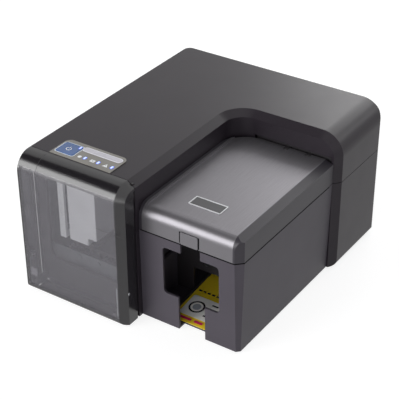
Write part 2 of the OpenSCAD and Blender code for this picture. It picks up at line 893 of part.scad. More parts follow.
// Outlines of the status lamps, or of their holes at a margin
module lamp_outlines(margin) {
    for (x = lamp_x) translate([x - lamp_w / 2 - margin, lamp_y - lamp_l / 2 - margin])
        soft_rect(lamp_w + 2 * margin, lamp_l + 2 * margin, lamp_w / 2 + margin);
}

module status_lamps() {
    color("#cfe0ff") place() along_z(body_h - wall - 1.4, body_h + panel_t + 0.3) lamp_outlines(0);
}

module status_strip() {
    color("#c9c6cf") place() along_z(body_h + panel_t, body_h + panel_t + 0.4)
        translate([strip_x + fit_gap, strip_y]) soft_rect(strip_w, strip_d, strip_d / 2);
}

module power_button() {
    color("#3f6ba6") place() {
        along_z(key_foot_z, body_h + panel_t + key_rise) key_outline(0);
        // flange that keeps the key in its well
        translate([key_x, key_y, key_foot_z]) span([-key_flange, -key_flange, 0],
            [key_w + key_flange, key_d + key_flange, key_flange_t]);
    }
}

module rubber_feet() {
    color("#1d1c1d") place() for (p = foot_spots) rod_z([p[0], p[1], -foot_h], foot_h, foot_d);
}

module case_screws() {
    color("#8f9194") place() for (p = concat(case_screws_low, case_screws_high)) difference() {
        rod_y([p[0], body_d - wall - 6, p[1]], wall + 5.8, case_screw_d);
        span([p[0] - 2, body_d - 1, p[1] - 0.5], [p[0] + 2, body_d + 1, p[1] + 0.5]);
    }
}

// Holes in the back wall: fan slots, inlet, ports and screws
module rear_cutouts() {
    y0 = body_d - wall - 1;
    y1 = body_d + 1;
    intersection() {
        rod_y([fan_cx, y0, fan_cz], wall + 2, fan_bore);
        fan_slats(0, y0, y1);
    }
    for (hole = [[inlet_x, inlet_z, inlet_w, inlet_h], [usb_x, board_top, usb_w, usb_h],
        [net_x, board_top, net_w, net_h]])
        span([hole[0] - fit_gap, y0, hole[1] - fit_gap],
            [hole[0] + hole[2] + fit_gap, y1, hole[1] + hole[3] + fit_gap]);
    for (p = case_screws_low) rod_y([p[0], y0, p[1]], wall + 2, case_screw_d + 2 * pin_gap);
}

// Level slots over the fan's face
module fan_slats(margin, y0, y1) {
    for (i = [0:slat_count - 1]) translate([0, 0, fan_z + (2 * i + 1) * slat_h])
        span([fan_x + margin, y0, 0], [fan_x + fan_size - margin, y1, slat_h]);
}

// A card lying flat, centred at X and Y
module card(x, y, z) {
    along_z(z, z + card_t) translate([x - card_l / 2, y - card_w / 2])
        soft_rect(card_l, card_w, card_r);
}

// Two cards lying on the tray, the lower one pushed further back
module output_cards() {
    color("#f2d330") place() translate([tray_card_x, tray_y0, wall + 0.15]) rotate([tray_slope, 0, 0])
        for (i = [0, 1]) translate([0, (1 - i) * card_slip, i * card_pitch])
            linear_extrude(card_t) soft_rect(card_w, card_l, card_r);
}

module blank_cards() {
    color("#f4f3ef") place() for (i = [0:stack_count - 1])
        card(mouth_x, card_in_y, card_plane + 0.1 + i * card_pitch);
}

module input_bin() {
    color(dark_color) place() difference() {
        union() {
            span([bin_x0, bin_y0, frame_z0], [bin_x1, bin_y0 + bin_t, bin_top]);
            span([bin_x0, bin_y1 - bin_t, frame_z0], [bin_x1, bin_y1, bin_top]);
            span([bin_x0, bin_y0, card_plane - bin_floor_t], [bin_x1, bin_y1, card_plane]);
            span([pocket_x0 - bin_t, bin_y0, card_plane - 1], [pocket_x0, bin_y1, bin_top]);
            span([pocket_x1, bin_y0, card_plane - 1], [pocket_x1 + bin_t, bin_y1, bin_top]);
        }
        // tunnel over the output tray
        span([tray_x0 - 2, bin_y0 - 1, frame_z0 - 1],
            [tray_x0 + tray_w + 2, bin_y0 + bin_t + 1, frame_z0 + tunnel_h]);
        // gate that lets one card out
        span([bin_x0 - 1, card_in_y - slot_w / 2 + 1, card_plane],
            [pocket_x0 + 1, card_in_y + slot_w / 2 - 1, card_plane + 1.4]);
        // window for the pick rollers
        span([pick_x - pick_r - 2, card_in_y - card_w / 2 + 6, card_plane - bin_floor_t - 1],
            [pick_x + pick_r + 2, card_in_y + card_w / 2 - 6, card_plane + 1]);
        // thumb cut in the front wall
        along_y(bin_y0 - 1, bin_y0 + bin_t + 1) translate([mouth_x - thumb_w / 2, card_plane + 12])
            soft_rect(thumb_w, far, 6);
        rod_y([pick_x, bin_y0 - 1, pick_z], bin_y1 - bin_y0 + 2, shaft_d + 2 * pin_gap);
        rod_y([pinion_x, bin_y1 - bin_t - 1, pinion_z], bin_t + 2, motor_shaft_d + 1);
    }
}

module card_weight() {
    z = card_plane + 0.2 + stack_h;
    color("#8a8c8f") place() {
        span([pocket_x0 + weight_gap, bin_y0 + bin_t + weight_gap, z],
            [pocket_x1 - weight_gap, bin_y1 - bin_t - weight_gap, z + weight_t]);
        span([mouth_x - grip_w / 2, card_in_y - grip_t / 2, z + 1],
            [mouth_x + grip_w / 2, card_in_y + grip_t / 2, z + weight_t + grip_h]);
    }
}

module pick_shaft() {
    color(steel_color) place() rod_y([pick_x, bin_y0 - 1, pick_z], gear_y + gear_w + 1 - bin_y0 + 1, shaft_d);
}

module pick_rollers() {
    color("#2f2d30") place() for (y = [card_in_y - 15, card_in_y + 15])
        ring_y([pick_x, y - roller_w / 2, pick_z], roller_w, 2 * pick_r, shaft_d + 2 * pin_gap);
}

// A ring along Y with a bore
module ring_y(p, l, d, bore) {
    difference() {
        rod_y(p, l, d);
        rod_y(p - [0, 1, 0], l + 2, bore);
    }
}

// A spur gear's outline; the phase puts a tooth or a gap on the X axis
module gear_outline(n, phase) {
    r = gear_m * n / 2;
    root = r - 1.2 * gear_m;
    tip = r + 0.9 * gear_m;
    step = 360 / n;
    circle(r = root + 0.05);
    for (i = [0:n - 1]) rotate(phase + i * step) polygon([
        [root * cos(step * 0.28) - 0.3, -root * sin(step * 0.28)], [r, -r * sin(step * 0.21)],
        [tip, -tip * sin(step * 0.1)], [tip, tip * sin(step * 0.1)], [r, r * sin(step * 0.21)],
        [root * cos(step * 0.28) - 0.3, root * sin(step * 0.28)]]);
}

module pick_gear() {
    color("#e6e3da") place() difference() {
        translate([pick_x, gear_y + gear_w, pick_z]) rotate([90, 0, 0])
            linear_extrude(gear_w) gear_outline(gear_n, mesh_angle);
        rod_y([pick_x, gear_y - 1, pick_z], gear_w + 2, shaft_d + 2 * pin_gap);
    }
}

module feed_pinion() {
    color("#e6e3da") place() {
        translate([pinion_x, gear_y + gear_w, pinion_z]) rotate([90, 0, 0])
            linear_extrude(gear_w) gear_outline(pinion_n, mesh_angle + 180 + 180 / pinion_n);
        rod_y([pinion_x, bin_y1 - bin_t - 7, pinion_z], gear_y - bin_y1 + bin_t + 8, motor_shaft_d);
    }
}

module feed_motor() {
    y1 = bin_y1 - bin_t - 0.1;
    color("#9c9ea1") place() difference() {
        union() {
            rod_y([pinion_x, y1 - 26, pinion_z], 26, feed_motor_d);
            span([pinion_x - 4, y1 - 2, pinion_z - 15], [pinion_x + 4, y1, pinion_z + 9]);
        }
        rod_y([pinion_x, y1 - 9, pinion_z], 10, motor_shaft_d + 2 * pin_gap);
    }
}

// A metal frame's outline in X and Z, taller at its right end where the shafts pass
module cross_outline() {
    x0 = frame_x0 + frame_t + 0.1;
    x1 = frame_x1 - 0.1;
    polygon([[x0, frame_z0], [x1, frame_z0], [x1, card_plane + 14], [x1 - post_w, card_plane + 14],
        [x1 - post_w, card_plane - 5], [x0, card_plane - 5]]);
}

// Bores of the shafts, rails and lead screw in a frame across the bay
module cross_bores(y) {
    rod_y([transport_x, y - 1, card_plane - transport_r], frame_t + 2, shaft_d + 2 * pin_gap);
    rod_y([transport_x, y - 1, pinch_z], frame_t + 2, pinch_d + 2 * pin_gap);
    rod_y([shuttle_x, y - 1, rail_z], frame_t + 2, screw_rod_d + 2 * pin_gap);
    for (x = [shuttle_x - rail_dx, shuttle_x + rail_dx])
        rod_y([x, y - 1, rail_z], frame_t + 2, rail_d + 2 * pin_gap);
}

module cross_frames() {
    color("#5a5b5e") place() for (y = [frame_y0, frame_y1]) difference() {
        along_y(y, y + frame_t) cross_outline();
        cross_bores(y);
    }
}

// A metal plate along Y that carries the guide rod
module side_plate(x) {
    span([x, frame_y0, frame_z0], [x + frame_t, frame_y1 + frame_t, frame_z0 + frame_h]);
}

module left_frame() {
    color("#5a5b5e") place() difference() {
        union() {
            side_plate(frame_x0);
            // shelf under the carriage motor
            translate([0, belt_y, belt_z - motor_gap - belt_motor_h]) span(
                [frame_x0, -belt_motor_d / 2 - 2, -frame_t],
                [pulley_x[0] + belt_motor_d / 2 + 2, belt_motor_d / 2 + 2, 0]);
        }
        rod_x([frame_x0 - 1, rod_y_line, rod_z_line], frame_t + 2, rod_d + 2 * pin_gap);
    }
}

module right_frame() {
    foot = shelf_z + frame_t;
    color("#5a5b5e") place() difference() {
        union() {
            side_plate(frame_x1);
            // shelf under the idler pulley
            span([pulley_x[1] - pulley_r, belt_y - pulley_r, shelf_z],
                [frame_x1 + frame_t, belt_y + pulley_r, foot]);
        }
        rod_x([frame_x1 - 1, rod_y_line, rod_z_line], frame_t + 2, rod_d + 2 * pin_gap);
        for (y = [card_out_y, card_in_y]) card_way(frame_x1 - 1, frame_x1 + frame_t + 1, y);
    }
    // stud that carries the idler pulley
    color(steel_color) place() {
        rod_z([pulley_x[1], belt_y, foot - 0.5], belt_z + belt_w + 3 - foot, pinch_d);
        rod_z([pulley_x[1], belt_y, foot - 0.5], belt_z - 1.4 - foot + 0.5, 2 * pinch_d);
    }
}

module transport_shaft() {
    color(steel_color) place()
        rod_y([transport_x, frame_y0 - 1, card_plane - transport_r], frame_y1 - frame_y0 + 12, shaft_d);
}

module transport_rollers() {
    color("#2f2d30") place() for (y = roller_y)
        ring_y([transport_x, y - roller_w / 2, card_plane - transport_r], roller_w, 2 * transport_r - 0.1,
            shaft_d + 2 * pin_gap);
}

module pinch_shaft() {
    color(steel_color) place()
        rod_y([transport_x, frame_y0 - 1, pinch_z], frame_y1 + frame_t + 1 - frame_y0, pinch_d);
}

module pinch_rollers() {
    color("#3a383b") place() for (y = roller_y)
        ring_y([transport_x, y - roller_w / 2, pinch_z], roller_w, 2 * pinch_r, pinch_d + 2 * pin_gap);
}

module shuttle_rails() {
    color(steel_color) place() for (x = [shuttle_x - rail_dx, shuttle_x + rail_dx])
        rod_y([x, frame_y0 - 1, rail_z], frame_y1 + frame_t + 2 - frame_y0, rail_d);
}

module card_shuttle() {
    z0 = card_plane - 0.1 - shuttle_t;
    y0 = card_out_y - card_w / 2;
    color("#4a4c50") place() difference() {
        union() {
            span([shuttle_x - card_l / 2, y0, z0], [shuttle_x + card_l / 2, y0 + card_w, z0 + shuttle_t]);
            for (x = [shuttle_x - rail_dx, shuttle_x, shuttle_x + rail_dx])
                span([x - block_w / 2, y0 + 6, rail_z - block_w / 2],
                    [x + block_w / 2, y0 + card_w - 6, z0 + 1]);
        }
        for (x = [shuttle_x - rail_dx, shuttle_x + rail_dx])
            rod_y([x, y0, rail_z], card_w, rail_d + 2 * pin_gap);
        rod_y([shuttle_x, y0, rail_z], card_w, screw_rod_d + 2 * pin_gap);
    }
}

module lead_screw() {
    color("#c8cacc") place() rod_y([shuttle_x, frame_y0 - 1, rail_z], frame_y1 - frame_y0 + 12, screw_rod_d);
}

// Motors of the transport shaft and of the lead screw, on the back of the rear cross frame
module drive_motors() {
    y0 = frame_y1 + frame_t + 0.1;
    color("#9c9ea1") place()
        for (p = [[transport_x, card_plane - transport_r], [shuttle_x, rail_z]]) difference() {
            rod_y([p[0], y0, p[1]], drive_motor_l, drive_motor_d);
            rod_y([p[0], y0 - 1, p[1]], 12, shaft_d + 2 * pin_gap);
        }
}

module guide_rod() {
    color("#c8cacc") place()
        rod_x([frame_x0 - 1, rod_y_line, rod_z_line], frame_x1 - frame_x0 + frame_t + 2, rod_d);
}

module guide_rail() {
    color("#6d6f72") place() span([frame_x0 + frame_t + 0.1, rail_plate_y, slider_z - 14],
        [frame_x1 - 0.1, rail_plate_y + frame_t, slider_z + 4.3]);
}

module encoder_strip() {
    y = back_y + back_t + 3;
    color([0.85, 0.86, 0.88, 0.6]) place()
        span([frame_x0 + frame_t + 0.1, y, slider_z - 8], [frame_x1 - 0.1, y + 0.4, slider_z - 2]);
}

module carriage() {
    color("#4a4a4e") place() difference() {
        union() {
            // back plate, shelf and bushing block
            span([carriage_x0, back_y, cart_z0 - 2.3], [carriage_x1, back_y + back_t, slider_z + 12]);
            span([cart_x0 - 3, cart_y0 + 6, cart_z0 - 2.3], [carriage_x1, back_y + 1, cart_z0 - 0.2]);
            translate([0, rod_y_line, rod_z_line]) span([carriage_x0, -bush_r, -bush_r],
                [carriage_x1, bush_r, bush_r]);
            span([carriage_x0 + bush_r, back_y + 1, rod_z_line - 5],
                [carriage_x1 - bush_r, rod_y_line, rod_z_line + 5]);
            // arm that rides on the guide rail
            span([carriage_x0 + bush_r, back_y + 1, slider_z],
                [carriage_x1 - bush_r, rail_plate_y - fit_gap, slider_z + 4]);
            // belt clip
            span([carriage_x0 + 18, rod_y_line, rod_z_line + bush_r - 2],
                [carriage_x0 + 28, belt_y - pulley_r - belt_t - 0.15, belt_z + belt_w + 1]);
        }
        rod_x([carriage_x0 - 1, rod_y_line, rod_z_line], carriage_x1 - carriage_x0 + 2, rod_d + 2 * pin_gap);
        // the cartridge's nozzle passes the shelf
        span([nozzle_x[0] - 1, cart_y0, cart_z0 - 3], [nozzle_x[1] + 1, cart_y0 + cart_d - 8, cart_z0 + 1]);
    }
}

module ink_cartridge() {
    r = 6;
    color("#d7d7da") place() {
        along_y(cart_y0, cart_y0 + cart_d) union() {
            polygon([[cart_x0, cart_z0], [cart_x1 - 13, cart_z0], [cart_x1 - 13, cart_z0 + 10],
                [cart_x1, cart_z0 + 10], [cart_x1, cart_z1 - r], [cart_x1 - r, cart_z1], [cart_x0, cart_z1]]);
            translate([cart_x1 - r, cart_z1 - r]) circle(r = r);
        }
        span([nozzle_x[0], cart_y0 + 4, nozzle_z], [nozzle_x[1], cart_y0 + cart_d - 14, cart_z0 + 1]);
    }
}

module cartridge_clamp() {
    color("#eceef0") place() difference() {
        union() {
            span([clamp_x0, cart_y0 - 1, clamp_z0], [clamp_x1, cart_y0 + 3, clamp_z1]);
            span([clamp_x0, cart_y0, clamp_z0], [clamp_x1, clamp_pin_y + 4, clamp_pin_z + 4]);
        }
        rod_x([clamp_x0 - 1, clamp_pin_y, clamp_pin_z], clamp_x1 - clamp_x0 + 2,
            clamp_pin_d + 2 * pin_gap);
    }
}

module clamp_pin() {
    r = clamp_pin_d;
    color(steel_color) place() {
        rod_x([clamp_x0 - 0.5, clamp_pin_y, clamp_pin_z], clamp_x1 - clamp_x0 + 0.6, clamp_pin_d);
        // bracket that carries the pin from the carriage's back plate
        span([clamp_x0 - r, clamp_pin_y - r, clamp_pin_z - r],
            [clamp_x0 - 0.4, back_y + back_t, clamp_pin_z + r]);
        span([clamp_x0 - r, back_y + back_t, clamp_pin_z - r],
            [carriage_x0 + r, back_y + back_t + 1.6, clamp_pin_z + r]);
    }
}

module carriage_motor() {
    z1 = belt_z - motor_gap;
    color("#9c9ea1") place() difference() {
        rod_z([pulley_x[0], belt_y, z1 - belt_motor_h + 0.1], belt_motor_h - 0.1, belt_motor_d);
        rod_z([pulley_x[0], belt_y, z1 - 10], 11, motor_shaft_d + 2 * pin_gap);
    }
}

// A belt pulley with two flanges
module pulley(x) {
    rod_z([x, belt_y, belt_z], belt_w, 2 * pulley_r);
    for (z = [belt_z - 1.2, belt_z + belt_w + 0.2]) rod_z([x, belt_y, z], 1, 2 * pulley_r + 3);
    rod_z([x, belt_y, belt_z - 1], belt_w + 2, 2 * pulley_r - 2);
}

module drive_pulley() {
    color("#d9dadc") place() {
        pulley(pulley_x[0]);
        rod_z([pulley_x[0], belt_y, belt_z - 15], 16, motor_shaft_d);
    }
}

module idler_pulley() {
    color("#d9dadc") place() difference() {
        pulley(pulley_x[1]);
        rod_z([pulley_x[1], belt_y, belt_z - 2], belt_w + 5, pinch_d + 2 * pin_gap);
    }
}

module carriage_belt() {
    r0 = pulley_r + 0.1;
    r1 = r0 + belt_t;
    color("#1f1e20") place() along_z(belt_z + 0.2, belt_z + belt_w - 0.2) difference() {
        belt_loop(r1);
        belt_loop(r0);
    }
}

// The belt's path as an outline: a rectangle between two circles
module belt_loop(r) {
    translate([pulley_x[0], belt_y - r]) square([pulley_x[1] - pulley_x[0], 2 * r]);
    for (x = pulley_x) translate([x, belt_y]) circle(r = r);
}

module cap_station() {
    color("#3c3b3f") place() span([cap_x0 - 2, card_out_y - cap_l / 2 - 3, frame_z0],
        [cap_x0 + cap_w, card_out_y + cap_l / 2 + 3, cap_z]);
}

module head_cap() {
    color("#17161a") place() difference() {
        span([cap_x0, card_out_y - cap_l / 2, cap_z + 0.05],
            [cap_x0 + cap_w, card_out_y + cap_l / 2, nozzle_z - 1]);
        span([cap_x0 + cap_wall, card_out_y - cap_l / 2 + cap_wall, cap_z + 3 * cap_wall],
            [cap_x0 + cap_w - cap_wall, card_out_y + cap_l / 2 - cap_wall, nozzle_z]);
    }
}

module waste_ink_pad() {
    color("#d8d4c8") place() span([frame_x0 + frame_t + fit_gap, card_out_y - 25, frame_z0],
        [cap_x0 - 2 - fit_gap, card_out_y + 25, frame_z0 + pad_h]);
}

module main_board() {
    color("#1f5a3a") place() {
        span([board_x0, board_y0, board_top - board_t], [board_x1, body_d - wall - 2, board_top]);
        // posts under the corners
        for (x = [board_x0 + 7, board_x1 - 7], y = [board_y0 + 7, body_d - wall - 9])
            rod_z([x, y, wall + 0.1], board_top - board_t - wall, 6);
        for (c = chips) translate([board_x0 + c[0], board_y0 + c[1], board_top - 0.1])
            cube([c[2], c[3], c[4] + 0.1]);
        for (i = [0:3]) rod_z([capacitor_x, board_y0 + 16 + i * 1.5 * capacitor_d, board_top - 0.1],
            capacitor_h, capacitor_d);
    }
}

module panel_board() {
    z = panel_board_z;
    y0 = door_d + bezel_t + 0.8;
    y1 = door_d + panel_d;
    color("#1f5a3a") place() {
        span([key_x - 2, y0, z], [panel_x + panel_w, y1, z + board_t]);
        // posts up to the cover, and the switch under the power key
        for (x = [key_x + key_w + 6, panel_x + panel_w - 2.4], y = [y0 + 2, y1 - 4])
            rod_z([x, y, z + 1], body_h - wall - fit_gap - z - 1, 4);
        rod_z([key_x + key_w / 2, key_y + key_d / 2, z + 1],
            key_foot_z - key_travel - switch_gap - z - 1, 7);
    }
}

module power_supply() {
    color("#b9bbbe") place() difference() {
        translate([supply_x0, supply_y0, frame_z0]) cube([supply_w, supply_d, supply_h]);
        for (i = [0:supply_slots - 1])
            translate([supply_x0 + 10 + supply_pitch * i, supply_y0 + slot_end, frame_z0 + supply_h - 2])
                cube([4, supply_d - 2 * slot_end, 3]);
    }
}

module power_inlet() {
    y1 = body_d - 0.2;
    color("#1b1a1c") place() {
        difference() {
            span([inlet_x, y1 - 22, inlet_z], [inlet_x + inlet_w, y1, inlet_z + inlet_h]);
            span([inlet_x + inlet_wall, y1 - 16, inlet_z + inlet_wall],
                [inlet_x + inlet_w - inlet_wall, y1 + 1, inlet_z + inlet_h - inlet_wall]);
        }
        // three flat pins
        for (i = [-1, 0, 1]) translate([inlet_x + inlet_w / 2 + 7 * i, y1, inlet_z])
            span([-1, -17, 8], [1, -3, 13]);
        span([inlet_x - 3, y1 - 22, frame_z0], [inlet_x + inlet_w + 3, y1 - 8, inlet_z + 0.1]);
    }
}

// A socket on the main board, open to the back
module socket(x, w, h, lip) {
    y1 = body_d - 0.2;
    difference() {
        span([x, y1 - 15, board_top + 0.05], [x + w, y1, board_top + h]);
        span([x + lip, y1 - 10, board_top + lip], [x + w - lip, y1 + 1, board_top + h - lip]);
    }
}

module data_ports() {
    color("#c9ccd0") place() {
        socket(usb_x, usb_w, usb_h, 1.6);
        socket(net_x, net_w, net_h, 1.8);
    }
}

module fan_frame() {
    color("#202022") place() difference() {
        span([fan_x, fan_y, fan_z], [fan_x + fan_size, fan_y + fan_t, fan_z + fan_size]);
        rod_y([fan_cx, fan_y - 1, fan_cz], fan_t - 1, fan_bore);
        fan_slats(5, fan_y + fan_t - 3, fan_y + fan_t + 1);
        rod_y([fan_cx, fan_y + fan_t - 3, fan_cz], 2, fan_pin_d + 2 * pin_gap);
    }
}

module fan_rotor() {
    color("#2b2b2e") place() {
        rod_y([fan_cx, fan_y + 1, fan_cz], fan_t - 4, fan_hub_d);
        rod_y([fan_cx, fan_y + fan_t - 4, fan_cz], 2.6, fan_pin_d);
        for (i = [0:fan_blades - 1]) translate([fan_cx, fan_y + fan_t / 2 - 1, fan_cz])
            rotate([0, i * 360 / fan_blades, 0]) translate([10, 0, 0]) rotate([35, 0, 0])
                cube([32, 1.4, 12], center = true);
    }
}

lower_shell();
top_cover();
hopper_shell();
front_door();
door_hinge_arms();
door_screws();
door_hinge_pins();
bay_bezel();
hopper_lid();
lid_latch();
lid_plate();
lid_hinge_pins();
lid_hinge_bracket();
control_panel();
status_lamps();
status_strip();
power_button();
rubber_feet();
case_screws();
output_cards();
blank_cards();
input_bin();
card_weight();
pick_shaft();
pick_rollers();
pick_gear();
feed_pinion();
feed_motor();
cross_frames();
left_frame();
right_frame();
transport_shaft();
transport_rollers();
pinch_shaft();
pinch_rollers();
shuttle_rails();
card_shuttle();
lead_screw();
drive_motors();
guide_rod();
guide_rail();
encoder_strip();
carriage();
ink_cartridge();
cartridge_clamp();
clamp_pin();
carriage_motor();
drive_pulley();
idler_pulley();
carriage_belt();
cap_station();
head_cap();
waste_ink_pad();
main_board();
panel_board();
power_supply();
power_inlet();
data_ports();
fan_frame();
fan_rotor();
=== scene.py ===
"""Looks of a desktop ID card printer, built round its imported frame.

Each sub-assembly is a class. Its fields hold its sizes, and build() dresses its CAD nodes and makes its
pieces. Lengths are millimetres from the casing's low corner, where nothing else is said.
"""

import json
import logging
import math
from abc import ABC, abstractmethod
from dataclasses import dataclass
from enum import Enum
from typing import ClassVar, Iterable, Optional, Sequence

import bmesh
import bpy
from mathutils import Euler, Matrix, Vector

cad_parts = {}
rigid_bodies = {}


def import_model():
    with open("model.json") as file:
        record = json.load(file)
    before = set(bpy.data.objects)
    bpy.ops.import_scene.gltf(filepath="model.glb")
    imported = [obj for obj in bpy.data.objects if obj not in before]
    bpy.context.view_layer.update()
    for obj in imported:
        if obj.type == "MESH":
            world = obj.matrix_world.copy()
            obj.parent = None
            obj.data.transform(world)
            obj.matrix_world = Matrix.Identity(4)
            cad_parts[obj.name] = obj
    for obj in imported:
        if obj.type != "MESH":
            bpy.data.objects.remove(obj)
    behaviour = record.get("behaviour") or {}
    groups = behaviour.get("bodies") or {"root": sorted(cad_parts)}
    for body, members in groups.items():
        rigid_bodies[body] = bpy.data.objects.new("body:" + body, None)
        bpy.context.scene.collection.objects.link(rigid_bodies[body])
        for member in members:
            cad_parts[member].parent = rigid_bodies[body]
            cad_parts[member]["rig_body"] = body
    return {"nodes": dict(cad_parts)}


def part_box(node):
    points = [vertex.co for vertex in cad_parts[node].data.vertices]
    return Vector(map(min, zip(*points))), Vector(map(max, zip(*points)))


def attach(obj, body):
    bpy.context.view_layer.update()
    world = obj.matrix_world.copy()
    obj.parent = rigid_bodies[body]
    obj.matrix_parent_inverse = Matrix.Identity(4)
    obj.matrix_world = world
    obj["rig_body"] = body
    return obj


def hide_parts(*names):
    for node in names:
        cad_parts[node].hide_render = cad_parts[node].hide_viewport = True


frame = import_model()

LOG = logging.getLogger("card_printer")
MM = 0.001

Flat = tuple[float, float]
Point = tuple[float, float, float]
Box = tuple[Point, Point]
Mesh = bmesh.types.BMesh
Node = bpy.types.Node
Socket = bpy.types.NodeSocket
Tree = bpy.types.NodeTree


# ---------------------------------------------------------------- sizes


@dataclass(frozen=True)
class Casing:
    """Outer sizes of the printer, from the tower's left, the door's face and the underside."""

    width: float = 300.0
    depth: float = 359.0
    height: float = 190.0
    foot: float = 3.0
    tower: float = 152.6            # width of the left part, with the door and the print bay
    hopper_y: float = 32.7          # the hopper's front face
    hopper_right: float = 292.2     # the hopper's right side

    def at(self, x: float, y: float, z: float) -> Vector:
        """Gives a place in the casing's millimetres as a point of the frame in metres."""
        return Vector(((x - self.width / 2) * MM, (y - self.depth / 2) * MM, (z + self.foot) * MM))

    def place_of(self, point: Vector) -> Point:
        """Gives a point of the frame in metres as a place in the casing's millimetres."""
        return point.x / MM + self.width / 2, point.y / MM + self.depth / 2, point.z / MM - self.foot


CASING = Casing()
SINK = 0.02     # how far print and lamps reach into the face below them, so that no gap shows
LAP = 0.01      # how far one layer of print reaches into the next


# ---------------------------------------------------------------- colours and nodes


def linear(colour: str) -> tuple[float, float, float, float]:
    """Turns an sRGB hex colour to linear light.

    Args:
        colour: six hex digits after a hash.

    Returns:
        The red, green, blue and alpha values.
    """
    parts = [int(colour[i:i + 2], 16) / 255 for i in (1, 3, 5)]
    red, green, blue = (p / 12.92 if p <= 0.04045 else ((p + 0.055) / 1.055) ** 2.4 for p in parts)
    return red, green, blue, 1.0


def shade(colour: str, factor: float) -> str:
    """Makes a hex colour lighter or darker by a factor."""
    parts = [min(255, round(int(colour[i:i + 2], 16) * factor)) for i in (1, 3, 5)]
    return "#" + "".join(f"{p:02x}" for p in parts)


def per_mm(size: float) -> float:
    """Gives the texture scale at which a pattern repeats about every size millimetres."""
    return 1.0 / (size * MM)


def add_node(tree: Tree, kind: str, settings: Optional[dict] = None, links: Optional[dict] = None) -> Node:
    """Adds a node with its settings and links.

    Args:
        tree: the node tree.
        kind: the node's type without the ShaderNode prefix.
        settings: sockets or properties with their values, and a colour ramp's stops.
        links: input sockets with the output sockets that feed them.

    Returns:
        The new node.
    """
    node = tree.nodes.new("ShaderNode" + kind)
    for key, value in (settings or {}).items():
        if key == "stops":
            for element, (position, colour) in zip(node.color_ramp.elements, value):
                element.position = position
                element.color = linear(colour)
        elif isinstance(key, str) and hasattr(node, key) and key not in node.inputs:
            setattr(node, key, value)
        else:
            node.inputs[key].default_value = value
    for key, socket in (links or {}).items():
        tree.links.new(socket, node.inputs[key])
    return node


def mottle(tree: Tree, coords: Socket, low: str, high: str, size: float) -> Socket:
    """Blends two near colours by a soft noise.

    Args:
        tree: the node tree.
        coords: the Object coordinates.
        low: the darker hex colour.
        high: the lighter hex colour.
        size: the patches' size in millimetres.

    Returns:
        The colour.
    """
    noise = add_node(tree, "TexNoise", {"Scale": per_mm(size), "Detail": 3.0}, {"Vector": coords})
    ramp = add_node(tree, "ValToRGB", {"stops": ((0.35, low), (0.65, high))}, {"Fac": noise.outputs["Fac"]})
    return ramp.outputs["Color"]


def beyond(tree: Tree, coords: Socket, low: Point, high: Point, fade: float) -> Socket:
    """Tells the stretch inside a box from what lies past it.

    Args:
        tree: the node tree.
        coords: the Object coordinates.
        low: the box's low corner in millimetres.
        high: its high corner.
        fade: how many millimetres the change takes.

    Returns:
        A value of 0 in the box and 1 beyond it.
    """
    near, far = CASING.at(*low), CASING.at(*high)
    offset = add_node(tree, "VectorMath", {"operation": "SUBTRACT", 1: (near + far) / 2}, {0: coords})
    size = add_node(tree, "VectorMath", {"operation": "ABSOLUTE"}, {0: offset.outputs["Vector"]})
    past = add_node(tree, "VectorMath", {"operation": "SUBTRACT", 1: (far - near) / 2},
                    {0: size.outputs["Vector"]})
    axes = add_node(tree, "SeparateXYZ", links={"Vector": past.outputs["Vector"]}).outputs
    wide = add_node(tree, "Math", {"operation": "MAXIMUM"}, {0: axes["X"], 1: axes["Y"]})
    most = add_node(tree, "Math", {"operation": "MAXIMUM"}, {0: wide.outputs[0], 1: axes["Z"]})
    change = add_node(tree, "MapRange", {"From Min": 0.0, "From Max": fade * MM}, {"Value": most.outputs[0]})
    return change.outputs["Result"]


def eye_rays(tree: Tree) -> tuple[Socket, Socket]:
    """Tells the rays that show the studio from those that only light the printer.

    Args:
        tree: the node tree of the floor or the world.

    Returns:
        A value of 1 for camera and transmission rays, and one that is 1 for glossy rays too.
    """
    path = add_node(tree, "LightPath").outputs
    seen = add_node(tree, "Math", {"operation": "MAXIMUM"},
                    {0: path["Is Camera Ray"], 1: path["Is Transmission Ray"]})
    shown = add_node(tree, "Math", {"operation": "MAXIMUM"}, {0: seen.outputs[0], 1: path["Is Glossy Ray"]})
    return seen.outputs[0], shown.outputs[0]


# ---------------------------------------------------------------- finishes


@dataclass(frozen=True)
class Finish(ABC):
    """What every finish shares: its name, and how its nodes become a material."""

    name: str

    @abstractmethod
    def surface(self, tree: Tree, coords: Socket) -> Node:
        """Adds the finish's nodes.

        Args:
            tree: the material's nodes.
            coords: the Object coordinates.

        Returns:
            The shader.
        """

    def build(self) -> bpy.types.Material:
        """Builds the finish's node material.

        Returns:
            The material.
        """
        material = bpy.data.materials.new(self.name)
        material.use_nodes = True
        tree = material.node_tree
        tree.nodes.clear()
        shader = self.surface(tree, add_node(tree, "TexCoord").outputs["Object"])
        add_node(tree, "OutputMaterial", links={"Surface": shader.outputs[0]})
        return material


